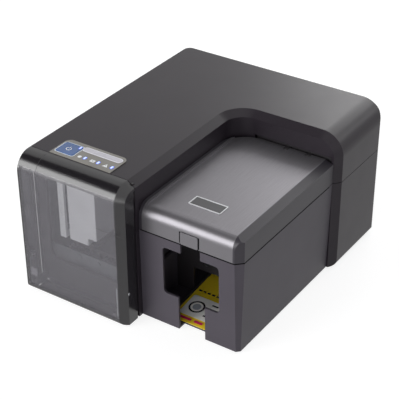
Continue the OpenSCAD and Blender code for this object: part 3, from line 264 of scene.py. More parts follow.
@dataclass(frozen=True)
class MouldedPlastic(Finish):
    """Injection moulded ABS or similar: an even colour under a fine grain that softens reflections.

    The tool's spark-eroded grain is about 0.1 mm. It is drawn several times as coarse, so that it shows.
    """

    colour: str
    roughness: float = 0.42
    grain: float = 0.9
    depth: float = 0.02
    variation: float = 0.03
    specular: float = 0.5
    coat: float = 0.0
    coat_roughness: float = 0.12
    ior: float = 1.53
    cloud: float = 46.0
    wear: float = 30.0
    wear_spread: float = 0.04

    def surface(self, tree: Tree, coords: Socket) -> Node:
        """Adds the plastic's faint clouds, its grain and its worn patches.

        Args:
            tree: the material's nodes.
            coords: the Object coordinates.

        Returns:
            The shader.
        """
        colour = mottle(tree, coords, shade(self.colour, 1 - self.variation),
                        shade(self.colour, 1 + self.variation), self.cloud)
        grain = add_node(tree, "TexNoise", {"Scale": per_mm(self.grain), "Detail": 2.0, "Roughness": 0.6},
                         {"Vector": coords})
        bump = add_node(tree, "Bump", {"Strength": 0.35, "Distance": self.depth * MM},
                        {"Height": grain.outputs["Fac"]})
        wear = add_node(tree, "TexNoise", {"Scale": per_mm(self.wear), "Detail": 4.0}, {"Vector": coords})
        satin = add_node(tree, "MapRange", {"To Min": self.roughness - self.wear_spread,
                                            "To Max": self.roughness + self.wear_spread},
                         {"Value": wear.outputs["Fac"]})
        return add_node(
            tree, "BsdfPrincipled",
            {"Specular IOR Level": self.specular, "IOR": self.ior, "Coat Weight": self.coat,
             "Coat Roughness": self.coat_roughness},
            {"Base Color": colour, "Normal": bump.outputs["Normal"], "Roughness": satin.outputs["Result"]})


@dataclass(frozen=True)
class CardFace(MouldedPlastic):
    """A PVC card's face, bare or printed, under clear laminate: a flat colour with a sharp sheen over it."""

    roughness: float = 0.24
    grain: float = 0.5
    depth: float = 0.003
    variation: float = 0.02
    coat: float = 0.4


@dataclass(frozen=True)
class BrushedPlate(Finish):
    """A satin metallic film with fine streaks along one axis that stretch the highlights.

    The film covers the stretch between two corners. Past it the bare plastic shows, darker and not metallic,
    so that the film's ends read as crisp lines. Real streaks are about 0.05 mm wide. They are drawn wider,
    so that they show.
    """

    colour: str
    roughness: float = 0.3
    metallic: float = 0.6
    streak: float = 0.5
    stretch: Point = (1.0, 0.02, 1.0)
    depth: float = 0.012
    variation: float = 0.1
    plain: str = "#3c3a3f"
    low: Point = (-50.0, -50.0, -50.0)
    high: Point = (350.0, 400.0, 250.0)
    fade: float = 0.8
    specular: float = 0.3
    gloss_spread: Flat = (-0.05, 0.07)

    def surface(self, tree: Tree, coords: Socket) -> Node:
        """Adds the streaks, and the change from film to bare plastic.

        Args:
            tree: the material's nodes.
            coords: the Object coordinates.

        Returns:
            The shader.
        """
        scale = tuple(per_mm(self.streak) * s for s in self.stretch)
        mapped = add_node(tree, "Mapping", {"Scale": scale}, {"Vector": coords})
        streaks = add_node(tree, "TexNoise", {"Scale": 1.0, "Detail": 4.0, "Roughness": 0.7},
                           {"Vector": mapped.outputs["Vector"]})
        dark, light = (shade(self.colour, 1 + change) for change in (-self.variation, self.variation))
        film = add_node(tree, "ValToRGB", {"stops": ((0.3, dark), (0.7, light))},
                        {"Fac": streaks.outputs["Fac"]})
        bump = add_node(tree, "Bump", {"Strength": 0.4, "Distance": self.depth * MM},
                        {"Height": streaks.outputs["Fac"]})
        past = beyond(tree, coords, self.low, self.high, self.fade)
        colour = add_node(tree, "Mix", {"data_type": "RGBA", 7: linear(self.plain)},
                          {0: past, 6: film.outputs["Color"]})
        metal = add_node(tree, "MapRange", {"To Min": self.metallic, "To Max": 0.0}, {"Value": past})
        least, most = (self.roughness + spread for spread in self.gloss_spread)
        satin = add_node(tree, "MapRange", {"To Min": least, "To Max": most},
                         {"Value": streaks.outputs["Fac"]})
        return add_node(
            tree, "BsdfPrincipled", {"Specular IOR Level": self.specular},
            {"Base Color": colour.outputs[2], "Normal": bump.outputs["Normal"],
             "Metallic": metal.outputs["Result"], "Roughness": satin.outputs["Result"]})


@dataclass(frozen=True)
class SmokedAcrylic(Finish):
    """Smoke-tinted acrylic: a thin panel shows what is close behind it, and its edges look dark and solid.

    The window is the stretch where it is seen through its thickness alone. Outside it the light passes the
    walls lengthways, so they get the deep colour and opacity.
    """

    haze: str
    deep: str
    opacity: float
    deep_opacity: float
    low: Point
    high: Point
    roughness: float = 0.3
    fade: float = 1.5
    gloss: float = 0.75
    ior: float = 1.49
    cloud: float = 60.0

    def surface(self, tree: Tree, coords: Socket) -> Node:
        """Adds the window and the deeper walls round it.

        Args:
            tree: the material's nodes.
            coords: the Object coordinates.

        Returns:
            The shader.
        """
        edge = beyond(tree, coords, self.low, self.high, self.fade)
        thin = mottle(tree, coords, shade(self.haze, 0.99), shade(self.haze, 1.01), self.cloud)
        colour = add_node(tree, "Mix", {"data_type": "RGBA", 7: linear(self.deep)}, {0: edge, 6: thin})
        spans = {"Alpha": (self.opacity, self.deep_opacity), "Specular IOR Level": (0.5, self.gloss),
                 "Roughness": (self.roughness, self.roughness - 0.1)}
        changes = {name: add_node(tree, "MapRange", {"To Min": window, "To Max": wall}, {"Value": edge})
                   for name, (window, wall) in spans.items()}
        return add_node(
            tree, "BsdfPrincipled", {"IOR": self.ior},
            {"Base Color": colour.outputs[2], **{name: n.outputs["Result"] for name, n in changes.items()}})


@dataclass(frozen=True)
class Steel(Finish):
    """Drawn, ground or plated steel: bright, with fine marks that break up its mirror images.

    Real marks are about 0.05 mm wide. They are drawn coarser, so that they show.
    """

    colour: str
    roughness: float = 0.28
    mark: float = 0.4
    mark_depth: float = 0.01
    cloud: float = 9.0
    gloss_spread: Flat = (-0.06, 0.08)

    def surface(self, tree: Tree, coords: Socket) -> Node:
        """Adds the marks and a slightly uneven tone.

        Args:
            tree: the material's nodes.
            coords: the Object coordinates.

        Returns:
            The shader.
        """
        marks = add_node(tree, "TexNoise", {"Scale": per_mm(self.mark), "Detail": 3.0}, {"Vector": coords})
        bump = add_node(tree, "Bump", {"Strength": 0.2, "Distance": self.mark_depth * MM},
                        {"Height": marks.outputs["Fac"]})
        least, most = (self.roughness + spread for spread in self.gloss_spread)
        satin = add_node(tree, "MapRange", {"To Min": least, "To Max": most},
                         {"Value": marks.outputs["Fac"]})
        colour = mottle(tree, coords, shade(self.colour, 0.93), shade(self.colour, 1.05), self.cloud)
        return add_node(
            tree, "BsdfPrincipled", {"Metallic": 1.0},
            {"Base Color": colour, "Normal": bump.outputs["Normal"], "Roughness": satin.outputs["Result"]})


@dataclass(frozen=True)
class LitPanel(Finish):
    """A clear light pipe with a lamp behind it: pale, glossy and faintly glowing."""

    colour: str
    glow: float
    roughness: float = 0.15
    cloud: float = 2.0

    def surface(self, tree: Tree, coords: Socket) -> Node:
        """Adds the pipe's colour and its glow.

        Args:
            tree: the material's nodes.
            coords: the Object coordinates.

        Returns:
            The shader.
        """
        colour = mottle(tree, coords, shade(self.colour, 0.9), self.colour, self.cloud)
        return add_node(tree, "BsdfPrincipled",
                        {"Roughness": self.roughness, "Emission Strength": self.glow},
                        {"Base Color": colour, "Emission Color": colour})


@dataclass(frozen=True)
class CircuitBoard(Finish):
    """Glass-fibre board under green solder mask: glossy, with paler tracks that stand up a little in it."""

    mask: str
    track: str
    pitch: float = 18.0
    relief: float = 0.05
    roughness: float = 0.32

    def surface(self, tree: Tree, coords: Socket) -> Node:
        """Adds the tracks between the fields of mask.

        Args:
            tree: the material's nodes.
            coords: the Object coordinates.

        Returns:
            The shader.
        """
        tracks = add_node(tree, "TexBrick", {
            "Scale": per_mm(self.pitch), "Mortar Size": 0.03, "Color1": linear(self.mask),
            "Color2": linear(shade(self.mask, 0.85)), "Mortar": linear(self.track)}, {"Vector": coords})
        bump = add_node(tree, "Bump", {"Strength": 0.2, "Distance": self.relief * MM},
                        {"Height": tracks.outputs["Fac"]})
        return add_node(tree, "BsdfPrincipled", {"Roughness": self.roughness},
                        {"Base Color": tracks.outputs["Color"], "Normal": bump.outputs["Normal"]})


@dataclass(frozen=True)
class Felt(Finish):
    """Pressed absorbent felt: matt, with a fine tangle of fibres, drawn coarser than the real 0.02 mm."""

    colour: str
    fibre: float = 0.8
    nap: float = 0.2
    cloud: float = 3.0

    def surface(self, tree: Tree, coords: Socket) -> Node:
        """Adds the tangle and the sheen of its fibres.

        Args:
            tree: the material's nodes.
            coords: the Object coordinates.

        Returns:
            The shader.
        """
        fibres = add_node(tree, "TexNoise", {"Scale": per_mm(self.fibre), "Detail": 6.0, "Distortion": 1.5},
                          {"Vector": coords})
        bump = add_node(tree, "Bump", {"Strength": 0.6, "Distance": self.nap * MM},
                        {"Height": fibres.outputs["Fac"]})
        colour = mottle(tree, coords, shade(self.colour, 0.85), self.colour, self.cloud)
        return add_node(tree, "BsdfPrincipled", {"Roughness": 0.95, "Sheen Weight": 0.3},
                        {"Base Color": colour, "Normal": bump.outputs["Normal"]})


@dataclass(frozen=True)
class FlagCloth(Finish):
    """Black cloth that swallows the light, so that glossy curves mirror it as a dark band."""

    colour: str = "#050505"

    def surface(self, tree: Tree, coords: Socket) -> Node:
        """Adds the cloth's even black, which needs no pattern and so no coordinates."""
        return add_node(tree, "BsdfDiffuse", {"Color": linear(self.colour)})


@dataclass(frozen=True)
class FloorPaint(Finish):
    """White studio paint: it shows white with a soft shadow, and returns a paler light to the printer."""

    bounce: str = "#e6e6e6"
    shadowed: str = "#9a9a9a"
    glow: float = 0.82

    def surface(self, tree: Tree, coords: Socket) -> Node:
        """Adds what the eye sees of the floor and the light that it returns.

        Args:
            tree: the material's nodes.
            coords: the Object coordinates, which an even paint doesn't need.

        Returns:
            The shader.
        """
        seen, shown = eye_rays(tree)
        bounce = add_node(tree, "BsdfDiffuse", {"Color": linear(self.bounce)})
        dark, light = linear("#000000"), linear(self.shadowed)
        shadowed = add_node(tree, "Mix", {"data_type": "RGBA", 6: dark, 7: light}, {0: seen})
        soft = add_node(tree, "BsdfDiffuse", links={"Color": shadowed.outputs[2]})
        glow = add_node(tree, "Emission", {"Color": linear("#ffffff"), "Strength": self.glow})
        white = add_node(tree, "AddShader", links={0: soft.outputs[0], 1: glow.outputs[0]})
        return add_node(tree, "MixShader", links={0: shown, 1: bounce.outputs[0], 2: white.outputs[0]})


class Look(Enum):
    """Every finish on the printer, each under a comment on what it gives the eye."""

    # Satin ABS, near black: broad soft highlights along the edges and dull, even faces.
    CASING = MouldedPlastic("casing_satin_abs", "#282329", roughness=0.34, grain=0.8, depth=0.008,
                            variation=0.02, specular=0.22)
    # The same ABS in a lighter grey, which sets the hopper off from the casing.
    HOPPER = MouldedPlastic("hopper_satin_abs", "#48444b", roughness=0.36, grain=0.8, depth=0.008,
                            variation=0.02, specular=0.15)
    # Metallic film on the lid: long soft highlights from front to rear, ending in bare plastic at its sides.
    LID = BrushedPlate("lid_brushed_film", "#767478", roughness=0.36, metallic=0.76, streak=0.55,
                       stretch=(1.0, 0.015, 1.0), depth=0.008, variation=0.06, plain="#343137",
                       low=(157.5, -50.0, -50.0), high=(281.0, 400.0, 250.0))
    # Tinted acrylic: the bay shows dimly through its face, and its walls are nearly black.
    DOOR = SmokedAcrylic("door_smoked_acrylic", "#817f85", "#1d1b1e", opacity=0.27, deep_opacity=0.96,
                         low=(3.4, -1.0, 8.0), high=(142.0, 3.2, 176.0))
    # Black plastic inside: dull enough to stay in the dark of the bay.
    DARK = MouldedPlastic("bay_black_plastic", "#1f1c1f", roughness=0.5, grain=1.0, depth=0.03)
    # Matt black painted shade for grooves, gaps and the strips round the bezel: it stands in for the shade
    # in them, and no highlight gives away how shallow they are.
    PAINTED_SHADE = MouldedPlastic("gap_painted_shade", "#0b0a0c", roughness=0.85, grain=0.6, depth=0.004,
                            variation=0.02, specular=0.05)
    # Zinc-plated steel: grey and softly bright.
    STEEL = Steel("plated_steel", "#a9abad", roughness=0.3)
    # Ground steel rods and screws: the brightest metal, with sharp glints.
    BRIGHT_STEEL = Steel("ground_steel_rod", "#c3c5c8", roughness=0.16)
    # Brushed aluminium round the lid's plate: a thin silver line with streaks along the width.
    PLATE = BrushedPlate("plate_satin_silver", "#c6c7c9", roughness=0.3, metallic=0.9, streak=0.4,
                         stretch=(0.03, 1.0, 1.0), depth=0.01, variation=0.05)
    # Enamel field of the bare plate: smooth and a little glossy.
    PLATE_FACE = MouldedPlastic("plate_black_enamel", "#3a393c", roughness=0.3, grain=0.6, depth=0.01)
    # Taupe plastic of the panel: a warm grey with hardly any sheen.
    PANEL = MouldedPlastic("panel_taupe_plastic", "#827f79", roughness=0.42, grain=0.7, depth=0.015)
    # Blue plastic of the power key under a thin gloss coat.
    KEY = MouldedPlastic("key_blue_plastic", "#2a5590", roughness=0.25, grain=0.6, depth=0.01,
                         variation=0.05, coat=0.3)
    # Polyester film of the strip: pale, smooth and lightly glossy.
    STRIP = MouldedPlastic("strip_pale_film", "#c9c6cf", roughness=0.28, grain=0.6, depth=0.01,
                           variation=0.02, coat=0.2)
    # White screen-printing ink: flat and matt.
    MARK = MouldedPlastic("mark_white_ink", "#f1f3f6", roughness=0.45, grain=0.5, depth=0.005)
    # Pale blue ink of the line round the key, a little glossier.
    KEY_BORDER = MouldedPlastic("border_pale_blue_ink", "#e4eefa", roughness=0.35, grain=0.5, depth=0.005)
    # Light that leaks out round a lamp: a blue glow.
    LAMP_RIM = LitPanel("lamp_blue_glow", "#5468e0", glow=0.6)
    # Clear end of a light pipe: nearly white and glowing.
    LAMP = LitPanel("lamp_clear_pipe", "#cfe0ff", glow=0.7)
    # Grey plastic of the pad in the door's corner: a dull mid grey.
    PAD = MouldedPlastic("pad_grey_plastic", "#747277", roughness=0.5, grain=0.6, depth=0.01)
    # Moulded rubber: black and quite dull, with an open grain.
    RUBBER = MouldedPlastic("rubber_black", "#1d1c1e", roughness=0.72, grain=0.6, depth=0.04)
    # Cards and their inks under laminate: flat colours with one sharp sheen over all of them.
    CARD_YELLOW = CardFace("card_yellow_pvc", "#f2d330", roughness=0.22)
    CARD_WHITE = CardFace("card_white_pvc", "#f3f2ee", roughness=0.22, variation=0.01)
    CARD_MAGENTA = CardFace("card_magenta_ink", "#d0345f")
    CARD_DARK = CardFace("card_dark_ink", "#2b2830")
    CARD_GREY = CardFace("card_grey_ink", "#9aa0a8")
    # Acetal gears: creamy white with a waxy softness.
    ACETAL = MouldedPlastic("gear_acetal", "#e4e1d6", roughness=0.4, grain=0.6, depth=0.01)
    # Pale grey housing of the cartridge, the lightest thing behind the door.
    LIGHT_GREY = MouldedPlastic("cartridge_grey_plastic", "#d2d2d6", roughness=0.38, grain=0.8)
    # White plastic of the clamp, a shade lighter and smoother than the cartridge.
    WHITE = MouldedPlastic("lever_white_plastic", "#dcdde0", roughness=0.35, grain=0.8, depth=0.015)
    # Dark zinc on pressed frames: a dim metal with coarse patches.
    FRAME = Steel("frame_dark_zinc", "#6c6e72", roughness=0.45, mark=1.2)
    # Drawn motor cans: a plain grey metal.
    MOTOR = Steel("motor_can", "#9fa1a4", roughness=0.32)
    # Clear film of the encoder strip: half see-through all over.
    FILM = SmokedAcrylic("strip_clear_film", "#c9ccd2", "#c9ccd2", opacity=0.5, deep_opacity=0.5,
                         low=(0.0, 0.0, 0.0), high=(300.0, 359.0, 190.0))
    # Pale felt of the waste ink pad: matt and fuzzy.
    FELT = Felt("pad_felt", "#d8d4c8")
    # Green circuit boards with paler tracks.
    BOARD = CircuitBoard("board_green", "#1f5a3a", "#4d8a5e")
    # Hot-dip galvanised sheet: pale metal with large dull spangles.
    SUPPLY = Steel("case_galvanised", "#babcbf", roughness=0.4, mark=2.5)


MATERIALS: dict[str, bpy.types.Material] = {}


def finish_of(look: Look) -> bpy.types.Material:
    """Gives a finish's material, built once."""
    return MATERIALS.get(look.name) or MATERIALS.setdefault(look.name, look.value.build())


# ---------------------------------------------------------------- meshes


def dress(obj: bpy.types.Object, look: Look) -> None:
    """Puts one finish on an object, CAD node or piece."""
    obj.data.materials.clear()
    obj.data.materials.append(finish_of(look))


def add_object(name: str, bm: Mesh) -> bpy.types.Object:
    """Turns a mesh to an object of the scene.

    Args:
        name: the object's name.
        bm: the mesh, in the frame's metres. It is freed.

    Returns:
        The object.
    """
    mesh = bpy.data.meshes.new(name)
    bm.to_mesh(mesh)
    bm.free()
    obj = bpy.data.objects.new(name, mesh)
    bpy.context.scene.collection.objects.link(obj)
    return obj


def make_piece(name: str, bm: Mesh, look: Look, body: str, smooth: float = 30.0) -> bpy.types.Object:
    """Turns a mesh to a finished piece that rides on a body.

    Args:
        name: the piece's name.
        bm: the mesh, in the frame's metres. It is freed.
        look: the finish.
        body: the CAD body that carries the piece.
        smooth: faces that meet at less than this angle in degrees shade smooth.

    Returns:
        The piece.
    """
    piece = add_object(name, bm)
    piece.data.shade_smooth()
    piece.data.set_sharp_from_angle(angle=math.radians(smooth))
    dress(piece, look)
    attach(piece, body)
    LOG.info("piece %s on %s, %d faces", name, body, len(piece.data.polygons))
    return piece


def rounded_copy(node: str, name: str, look: Look, width: float = 0.5, segments: int = 2,
                 angle: float = 28.0) -> bpy.types.Object:
    """Copies a CAD node, merges its triangles and rounds its edges with a live bevel.

    Args:
        node: the CAD node's name. The copy replaces it.
        name: the new piece's name.
        look: the finish.
        width: the rounding's width in millimetres.
        segments: faces across the rounding.
        angle: edges sharper than this many degrees are rounded.

    Returns:
        The piece.
    """
    source = frame["nodes"][node]
    bm = bmesh.new()
    bm.from_mesh(source.data)
    bmesh.ops.remove_doubles(bm, verts=bm.verts, dist=0.002 * MM)
    bmesh.ops.dissolve_limit(bm, angle_limit=math.radians(0.5), use_dissolve_boundaries=False,
                             verts=bm.verts, edges=bm.edges, delimit={"NORMAL"})
    piece = make_piece(name, bm, look, source["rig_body"])
    bevel = piece.modifiers.new("edge_rounding", "BEVEL")
    bevel.width = width * MM
    bevel.segments = segments
    bevel.limit_method = "ANGLE"
    bevel.angle_limit = math.radians(angle)
    bevel.use_clamp_overlap = True
    flat = piece.modifiers.new("flat_faces", "WEIGHTED_NORMAL")
    flat.keep_sharp = True
    flat.weight = 90
    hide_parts(node)
    return piece


def slab(low: Point, high: Point, rounding: float = 0.3, segments: int = 2) -> Mesh:
    """Makes a box with rounded edges between two corners.

    Args:
        low: its low corner.
        high: its high corner.
        rounding: the width of its edges' rounding, or 0 for sharp edges.
        segments: faces across the rounding.

    Returns:
        The mesh.
    """
    bm = bmesh.new()
    bmesh.ops.create_cube(bm, size=1.0)
    near, far = CASING.at(*low), CASING.at(*high)
    bmesh.ops.scale(bm, vec=far - near, verts=bm.verts)
    bmesh.ops.translate(bm, vec=(near + far) / 2, verts=bm.verts)
    if rounding:
        bmesh.ops.bevel(bm, geom=bm.edges[:], offset=rounding * MM, segments=segments, profile=0.5,
                        affect="EDGES", clamp_overlap=True, material=-1)
    return bm


def disc_wall(centre: Point, outer: float, inner: float, height: float, sides: int = 40,
              start: float = 0.0, sweep: float = 360.0) -> Mesh:
    """Makes a flat ring, or a stretch of one, lying in X and Y.

    Args:
        centre: the middle of its underside.
        outer: the outer radius.
        inner: the inner radius.
        height: the thickness.
        sides: steps round it.
        start: the angle in degrees at which it starts.
        sweep: the degrees that it covers.

    Returns:
        The mesh.
    """
    bm = bmesh.new()
    corners = [(inner, 0.0), (outer, 0.0), (outer, height), (inner, height)]
    turn = Matrix.Rotation(math.radians(start), 3, "Z")
    verts = [bm.verts.new(turn @ Vector((r * MM, 0.0, h * MM))) for r, h in corners]
    edges = [bm.edges.new((verts[i], verts[(i + 1) % 4])) for i in range(4)]
    whole = sweep >= 360.0
    if not whole:
        bm.faces.new(verts)
    bmesh.ops.spin(bm, geom=verts + edges, cent=(0, 0, 0), axis=(0, 0, 1), dvec=(0, 0, 0),
                   angle=math.radians(sweep), steps=sides, use_merge=whole, use_duplicate=False)
    if not whole:
        last = [v for v in bm.verts if len(v.link_faces) and v not in verts and len(v.link_edges) == 3]
        if len(last) == 4:
            bmesh.ops.contextual_create(bm, geom=last)
    bmesh.ops.remove_doubles(bm, verts=bm.verts, dist=1e-7)
    bmesh.ops.recalc_face_normals(bm, faces=bm.faces)
    bmesh.ops.translate(bm, vec=CASING.at(*centre), verts=bm.verts)
    return bm


def round_outline(x: float, y: float, w: float, d: float, r: float, steps: int = 6) -> list[Flat]:
    """Draws a rectangle with round corners.

    Args:
        x: its left side.
        y: its front side.
        w: its width.
        d: its depth.
        r: its corners' radius.
        steps: faces round each corner.

    Returns:
        Its points, counter-clockwise.
    """
    centres = ((x + w - r, y + r), (x + w - r, y + d - r), (x + r, y + d - r), (x + r, y + r))
    points = []
    for quarter, (cx, cy) in enumerate(centres):
        for i in range(steps + 1):
            a = math.radians(90 * (quarter - 1) + 90 * i / steps)
            points.append((cx + r * math.cos(a), cy + r * math.sin(a)))
    return points


def plate_of(points: Sequence[Flat], z: float, height: float) -> Mesh:
    """Makes a flat plate from an outline in X and Y.

    Args:
        points: the outline, counter-clockwise.
        z: the height of its underside.
        height: its thickness.

    Returns:
        The mesh.
    """
    bm = bmesh.new()
    base = bm.faces.new([bm.verts.new(CASING.at(x, y, z)) for x, y in points])
    top = bmesh.ops.extrude_face_region(bm, geom=[base])
    moved = [v for v in top["geom"] if isinstance(v, bmesh.types.BMVert)]
    bmesh.ops.translate(bm, vec=(0, 0, height * MM), verts=moved)
    bmesh.ops.recalc_face_normals(bm, faces=bm.faces)
    return bm


def pill(x: float, y: float, size: Point, z: float, height: float) -> Mesh:
    """Makes a flat plate round a centre from its width, depth and corner radius."""
    w, d, r = size
    return plate_of(round_outline(x - w / 2, y - d / 2, w, d, r), z, height)


def joined(parts: Iterable[Mesh]) -> Mesh:
    """Puts several meshes in one.

    Args:
        parts: the meshes. They are freed.

    Returns:
        The whole.
    """
    whole = bmesh.new()
    for part in parts:
        mesh = bpy.data.meshes.new("part")
        part.to_mesh(mesh)
        part.free()
        whole.from_mesh(mesh)
        bpy.data.meshes.remove(mesh)
    return whole


class Assembly:
    """A sub-assembly: the CAD nodes that only get a finish, and the pieces that the scene makes."""

    finishes: ClassVar[dict[str, Look]] = {}

    def build(self) -> None:
        """Dresses the nodes and makes the pieces."""
        for node, look in self.finishes.items():
            dress(frame["nodes"][node], look)
        self.make_pieces()

    def make_pieces(self) -> None:
        """Makes the sub-assembly's pieces, where it has any."""


# ---------------------------------------------------------------- casing


@dataclass(frozen=True)
class Shells(Assembly):
    """The lower casing and upper cover, with moulded edges, their screws and rubber feet."""

    finishes: ClassVar[dict[str, Look]] = {"rubber_feet": Look.RUBBER, "case_screws": Look.STEEL}
    edge: float = 0.7

    def make_pieces(self) -> None:
        """Rounds both shells."""
        rounded_copy("lower_shell", "lower_casing", Look.CASING, self.edge)
        rounded_copy("top_cover", "upper_cover", Look.CASING, self.edge)


# ---------------------------------------------------------------- door


@dataclass(frozen=True)
class FrontDoor(Assembly):
    """The smoked clear door with its fine moulded lines, corner pad, screw and lip, and its hinge parts."""

    finishes: ClassVar[dict[str, Look]] = {
        "door_hinge_arms": Look.STEEL, "door_screws": Look.BRIGHT_STEEL,
        "door_hinge_pins": Look.BRIGHT_STEEL,
    }
    edge: float = 0.45
    brow: float = 22.5                      # radius of the curve from the face to the top
    root: float = 0.1                       # how deep the lines reach into the door
    line_w: float = 0.5
    line_rise: float = 0.08
    down_x: float = 27.5                    # the line down the curve
    down_angle: float = 82.0
    cross: Flat = (30.0, 119.0)             # the line across the curve
    cross_angle: float = 45.0
    level: float = 129.4                    # the level line on the face, with its gap and ends
    level_w: float = 0.4
    level_rise: float = 0.06
    level_gap: Flat = (36.0, 115.0)
    level_end: float = 2.0
    side_marks: tuple[Point, ...] = ((10.0, 22.0, 144.5), (12.6, 21.3, 169.3))      # front, rear, height
    side_rise: float = 0.12
    pad: Box = ((3.4, 3.1, 19.5), (14.6, 3.7, 31.5))
    pad_edge: float = 0.2
    lip: Box = ((16.0, 13.0, 0.3), (126.0, 20.0, 2.7))
    head_at: Flat = (9.6, 45.0)
    head_r: float = 1.9
    head_t: float = 0.7
    head_top: float = 0.7                   # the dome's top as a share of its foot
    head_sink: float = 0.05

    def make_pieces(self) -> None:
        """Builds the door, its lines and marks, its corner pad, its screw and its lip."""
        rounded_copy("front_door", "clear_door", Look.DOOR, self.edge, 3)
        make_piece("door_moulded_lines", self.brow_lines(), Look.DARK, "door")
        make_piece("door_fine_marks", self.flat_marks(), Look.DARK, "door")
        pad = slab(*self.pad, self.pad_edge)
        make_piece("door_corner_pad", pad, Look.PAD, "door")
        make_piece("door_side_screw", self.screw_head(), Look.BRIGHT_STEEL, "door")
        make_piece("door_bottom_lip", slab(*self.lip), Look.DOOR, "door")

    def over_brow(self, left: float, right: float, start: float, end: float, steps: int) -> Mesh:
        """Makes a thin band that hugs the door's curved top.

        Args:
            left: its left side.
            right: its right side.
            start: the angle in degrees from the top of the curve at which it starts.
            end: the angle at which it ends.
            steps: faces along it.

        Returns:
            The mesh.
        """
        bm = bmesh.new()
        inner, outer = self.brow - self.root, self.brow + self.line_rise
        corners = [(left, inner), (right, inner), (right, outer), (left, outer)]
        turn = Matrix.Rotation(math.radians(start), 3, "X")
        profile = bm.faces.new([bm.verts.new(turn @ Vector((x * MM, 0.0, r * MM))) for x, r in corners])
        bmesh.ops.spin(bm, geom=[profile], cent=(0, 0, 0), axis=(1, 0, 0), dvec=(0, 0, 0),
                       angle=math.radians(end - start), steps=steps, use_merge=False, use_duplicate=False)
        bmesh.ops.translate(bm, vec=CASING.at(0, self.brow, CASING.height - self.brow), verts=bm.verts)
        bmesh.ops.recalc_face_normals(bm, faces=bm.faces)
        return bm

    def brow_lines(self) -> Mesh:
        """Makes the line down the curve at the left and the one across it.

        Returns:
            The mesh.
        """
        half = self.line_w / 2
        spread = math.degrees(half / self.brow)
        down = self.over_brow(self.down_x - half, self.down_x + half, 0.0, self.down_angle, 28)
        across = self.over_brow(*self.cross, self.cross_angle - spread, self.cross_angle + spread, 2)
        return joined([down, across])

    def flat_marks(self) -> Mesh:
        """Makes the short marks on the door's side and the level line on its face.

        Returns:
            The mesh.
        """
        side, (left, right) = CASING.tower, self.level_gap
        marks = [slab((side - self.root, y0, z), (side + self.side_rise, y1, z + self.line_w), 0.0)
                 for y0, y1, z in self.side_marks]
        marks += [slab((x0, -self.level_rise, self.level), (x1, self.root, self.level + self.level_w), 0.0)
                  for x0, x1 in ((self.level_end, left), (right, side - self.level_end))]
        return joined(marks)

    def screw_head(self) -> Mesh:
        """Makes the domed head of the small screw low on the door's side.

        Returns:
            The mesh.
        """
        bm = bmesh.new()
        place = CASING.at(CASING.tower + self.head_t / 2 - self.head_sink, *self.head_at)
        bmesh.ops.create_cone(bm, cap_ends=True, segments=24, radius1=self.head_r * MM,
                              radius2=self.head_top * self.head_r * MM, depth=self.head_t * MM,
                              matrix=Matrix.Translation(place) @ Matrix.Rotation(math.radians(90.0), 4, "Y"))
        return bm


# ---------------------------------------------------------------- print bay


@dataclass(frozen=True)
class PrintBay(Assembly):
    """What lies behind the door: bezel, cartridge with its clamp, carriage and the way that it slides."""

    finishes: ClassVar[dict[str, Look]] = {
        "bay_bezel": Look.DARK, "clamp_pin": Look.STEEL, "carriage": Look.DARK,
        "guide_rod": Look.BRIGHT_STEEL, "guide_rail": Look.FRAME,
        "encoder_strip": Look.FILM, "carriage_belt": Look.RUBBER,
        "carriage_motor": Look.MOTOR, "drive_pulley": Look.LIGHT_GREY, "idler_pulley": Look.LIGHT_GREY,
        "cap_station": Look.DARK, "head_cap": Look.RUBBER, "waste_ink_pad": Look.FELT,
    }
    housing_edge: float = 0.8
    sill: Box = ((14.0, 22.4, 0.4), (128.0, 28.8, 2.8))
    seals: tuple[Box, ...] = (
        ((3.3, 24.5, 3.0), (4.3, 28.9, 166.0)),
        ((148.3, 24.5, 3.0), (149.3, 28.9, 166.0)),
        ((2.0, 15.0, -0.8), (150.6, 27.5, -0.1)),
    )
    seal_edge: float = 0.1

    def make_pieces(self) -> None:
        """Builds the sill, the strips in painted-shade black that close the gaps round the bezel, the
        cartridge and its clamp.
        """
        make_piece("bay_sill", slab(*self.sill), Look.DARK, "case")
        seals = [slab(low, high, self.seal_edge, 1) for low, high in self.seals]
        # the strips get the matt black that paints the shade in the gaps
        make_piece("bay_seals", joined(seals), Look.PAINTED_SHADE, "case")
        rounded_copy("ink_cartridge", "cartridge_housing", Look.LIGHT_GREY, self.housing_edge, 3)
        rounded_copy("cartridge_clamp", "cartridge_lever", Look.WHITE, self.housing_edge, 3)


# ---------------------------------------------------------------- hopper


